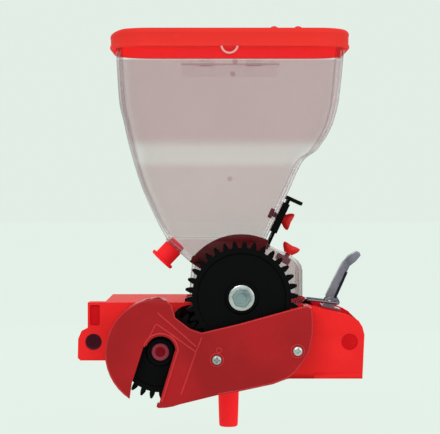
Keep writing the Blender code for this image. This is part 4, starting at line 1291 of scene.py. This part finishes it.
@dataclass
class Latch:
    """The draw latch: bracket, pin, pressed lever and wire bail."""

    pivot: tuple[float, float] = (95.2, 34.9)
    bar: tuple[float, float] = (64.3, 38.0)
    centre_y: float = -76.0
    half_width: float = 14.0
    bend: float = 3.0
    cheek: float = 8.05
    fold: tuple = ((92.6, 0.0, 39.6), (98.6, 0.0, 53.0), (104.1, 0.0, 65.4))

    def build(self, shop: Workshop) -> None:
        """Softens the pressings and bends the bail.

        Args:
            shop: holds the finishes.
        """
        shop.soften_all((("latch_bracket", Body.UNIT, "latch steel", "steel", 0.3),
                         ("latch_pin", Body.UNIT, "zinc", "zinc", 0.3),
                         ("latch_lever", Body.LEVER, "latch steel", "steel", 0.35)))
        self.groove(shop)
        self.bail(shop)

    def groove(self, shop: Workshop) -> None:
        """A painted shade line along each cheek of the lever, where its groove falls in shade: a
        dark flat bar laid on its face.

        Args:
            shop: holds the finishes.
        """
        path = resample(self.fold, 40)
        for k, y in enumerate((self.centre_y - self.cheek, self.centre_y + self.cheek)):
            path[:, 1] = y
            shop.put(skin(f"lever_groove_shade_{k}", tube(path, 1.35, 12, 0.28), False), Body.LEVER,
                     "groove shade steel", "steel")

    def bail(self, shop: Workshop) -> None:
        """A wire from cheek to cheek round the hook bar, its four bends quarter circles.

        Args:
            shop: holds the finishes.
        """
        (bx, bz), (cx, cz) = self.pivot, self.bar
        out, bend = self.half_width, self.bend
        quarter = np.radians(np.linspace(0, 90, 9))
        lift = (cz - bz) / (bx - cx)

        def side(sign: float) -> Array:
            """One half of the wire's path, from the lever to the middle of the bar.

            Args:
                sign: -1 for the front half, 1 for the rear one.

            Returns:
                The half's places.
            """
            first = np.array([(bx, sign * 5.8, bz), (bx, sign * (out - bend - 1.5), bz)])
            turn_a = np.stack([bx - bend + bend * np.cos(quarter),
                               sign * (out - bend + bend * np.sin(quarter)),
                               bz + lift * bend * (1 - np.cos(quarter))], axis=-1)
            turn_b = np.stack([cx + bend - bend * np.sin(quarter),
                               sign * (out - bend + bend * np.cos(quarter)),
                               np.full(9, cz)], axis=-1)
            return np.concatenate([first, turn_a, turn_b])

        path = np.concatenate([side(-1.0), side(1.0)[::-1]])
        path[:, 1] += self.centre_y
        shop.put(skin("latch_bail_wire", tube(resample(path.tolist(), 160), 1.2, 14), False),
                 Body.BAIL, "latch steel", "steel", ("latch_bail",))


@dataclass
class Studio:
    """Pale floor, soft lights and the camera, in metres."""

    pale: Colour = (0.762, 0.855, 0.787)
    ground: float = -0.118
    reach: float = 12.0
    aim: Point = (-0.01, -0.08, 0.12)

    def build(self) -> None:
        """Sets the stage."""
        self.floor()
        self.world()
        self.light("key", (-0.55, -1.5, 1.25), 13.0, (1.1, 0.9))
        self.light("fill", (1.1, -1.1, 0.55), 6.0, (0.9, 1.1))
        self.light("back", (0.2, 1.3, 0.5), 3.0, (1.2, 0.8))
        self.camera()

    def floor(self) -> None:
        """A wide floor under the unit, its tone mostly its own light so that it stays even."""
        mesh = bpy.data.meshes.new("floor")
        corners = ((-1, -1), (1, -1), (1, 1), (-1, 1))
        mesh.from_pydata([(x * self.reach, y * self.reach, self.ground) for x, y in corners],
                         [], [(0, 1, 2, 3)])
        floor = link("floor", mesh)
        material = bpy.data.materials.new("pale floor")
        material.use_nodes = True
        shader = material.node_tree.nodes["Principled BSDF"]
        shader.inputs["Base Color"].default_value = (*(c * 0.06 for c in self.pale), 1.0)
        shader.inputs["Roughness"].default_value = 1.0
        shader.inputs["Specular IOR Level"].default_value = 0.0
        shader.inputs["Emission Color"].default_value = (*self.pale, 1.0)
        shader.inputs["Emission Strength"].default_value = 0.97
        mesh.materials.append(material)

    def world(self) -> None:
        """An even pale surround."""
        world = bpy.data.worlds.new("surround")
        bpy.context.scene.world = world
        world.use_nodes = True
        back = world.node_tree.nodes["Background"]
        back.inputs["Color"].default_value = (*self.pale, 1.0)
        back.inputs["Strength"].default_value = 1.0

    def light(self, name: str, place: Point, power: float, size: tuple[float, float]) -> None:
        """A soft box that faces the unit.

        Args:
            name: the light's name.
            place: where it stands, in metres.
            power: in watts.
            size: of its face, in metres.
        """
        data = bpy.data.lights.new(name, "AREA")
        data.shape = "RECTANGLE"
        data.size, data.size_y = size
        data.energy = power
        lamp = link(name, data)
        lamp.location = place
        aim = Vector(self.aim) - Vector(place)
        lamp.rotation_euler = aim.to_track_quat("-Z", "Y").to_euler()

    def camera(self) -> None:
        """A long lens, level with the lower third of the hopper."""
        data = bpy.data.cameras.new("camera")
        data.sensor_width = 36.0
        data.lens = 129.3
        data.clip_end = 60.0
        camera = link("camera", data)
        camera.location = (-0.0205, -1.64, 0.145)
        camera.rotation_euler = (math.radians(90.0 - 0.94), 0.0, 0.0)
        bpy.context.scene.camera = camera


def main() -> None:
    """Builds the unit's sub-assemblies in order, then the studio."""
    logging.basicConfig(level=logging.INFO, format="%(name)s: %(message)s")
    bpy.context.scene.view_settings.view_transform = "Standard"
    shop = Workshop()
    pinion = (CENTRES * math.cos(PINION_AT), GEAR_Z + CENTRES * math.sin(PINION_AT))
    Carrier().build(shop)
    Chamber().build(shop)
    Hopper().build(shop)
    Lid().build(shop)
    SpurGear("driven_gear_nylon", "driven_gear", Body.ROTOR, teeth=34, centre=(0.0, GEAR_Z),
             tooth_at=PINION_AT, bore=6.4, hub=15.0).build(shop)
    SpurGear("drive_pinion_nylon", "drive_pinion", Body.PINION, teeth=28, centre=pinion,
             tooth_at=PINION_AT - math.pi + math.pi / 28, bore=8.6, hub=12.6).build(shop)
    Fastener(shop).hex_head()
    Guard().build(shop)
    Gate().build(shop)
    Latch().build(shop)
    Studio().build()


if __name__ == "__main__":
    main()
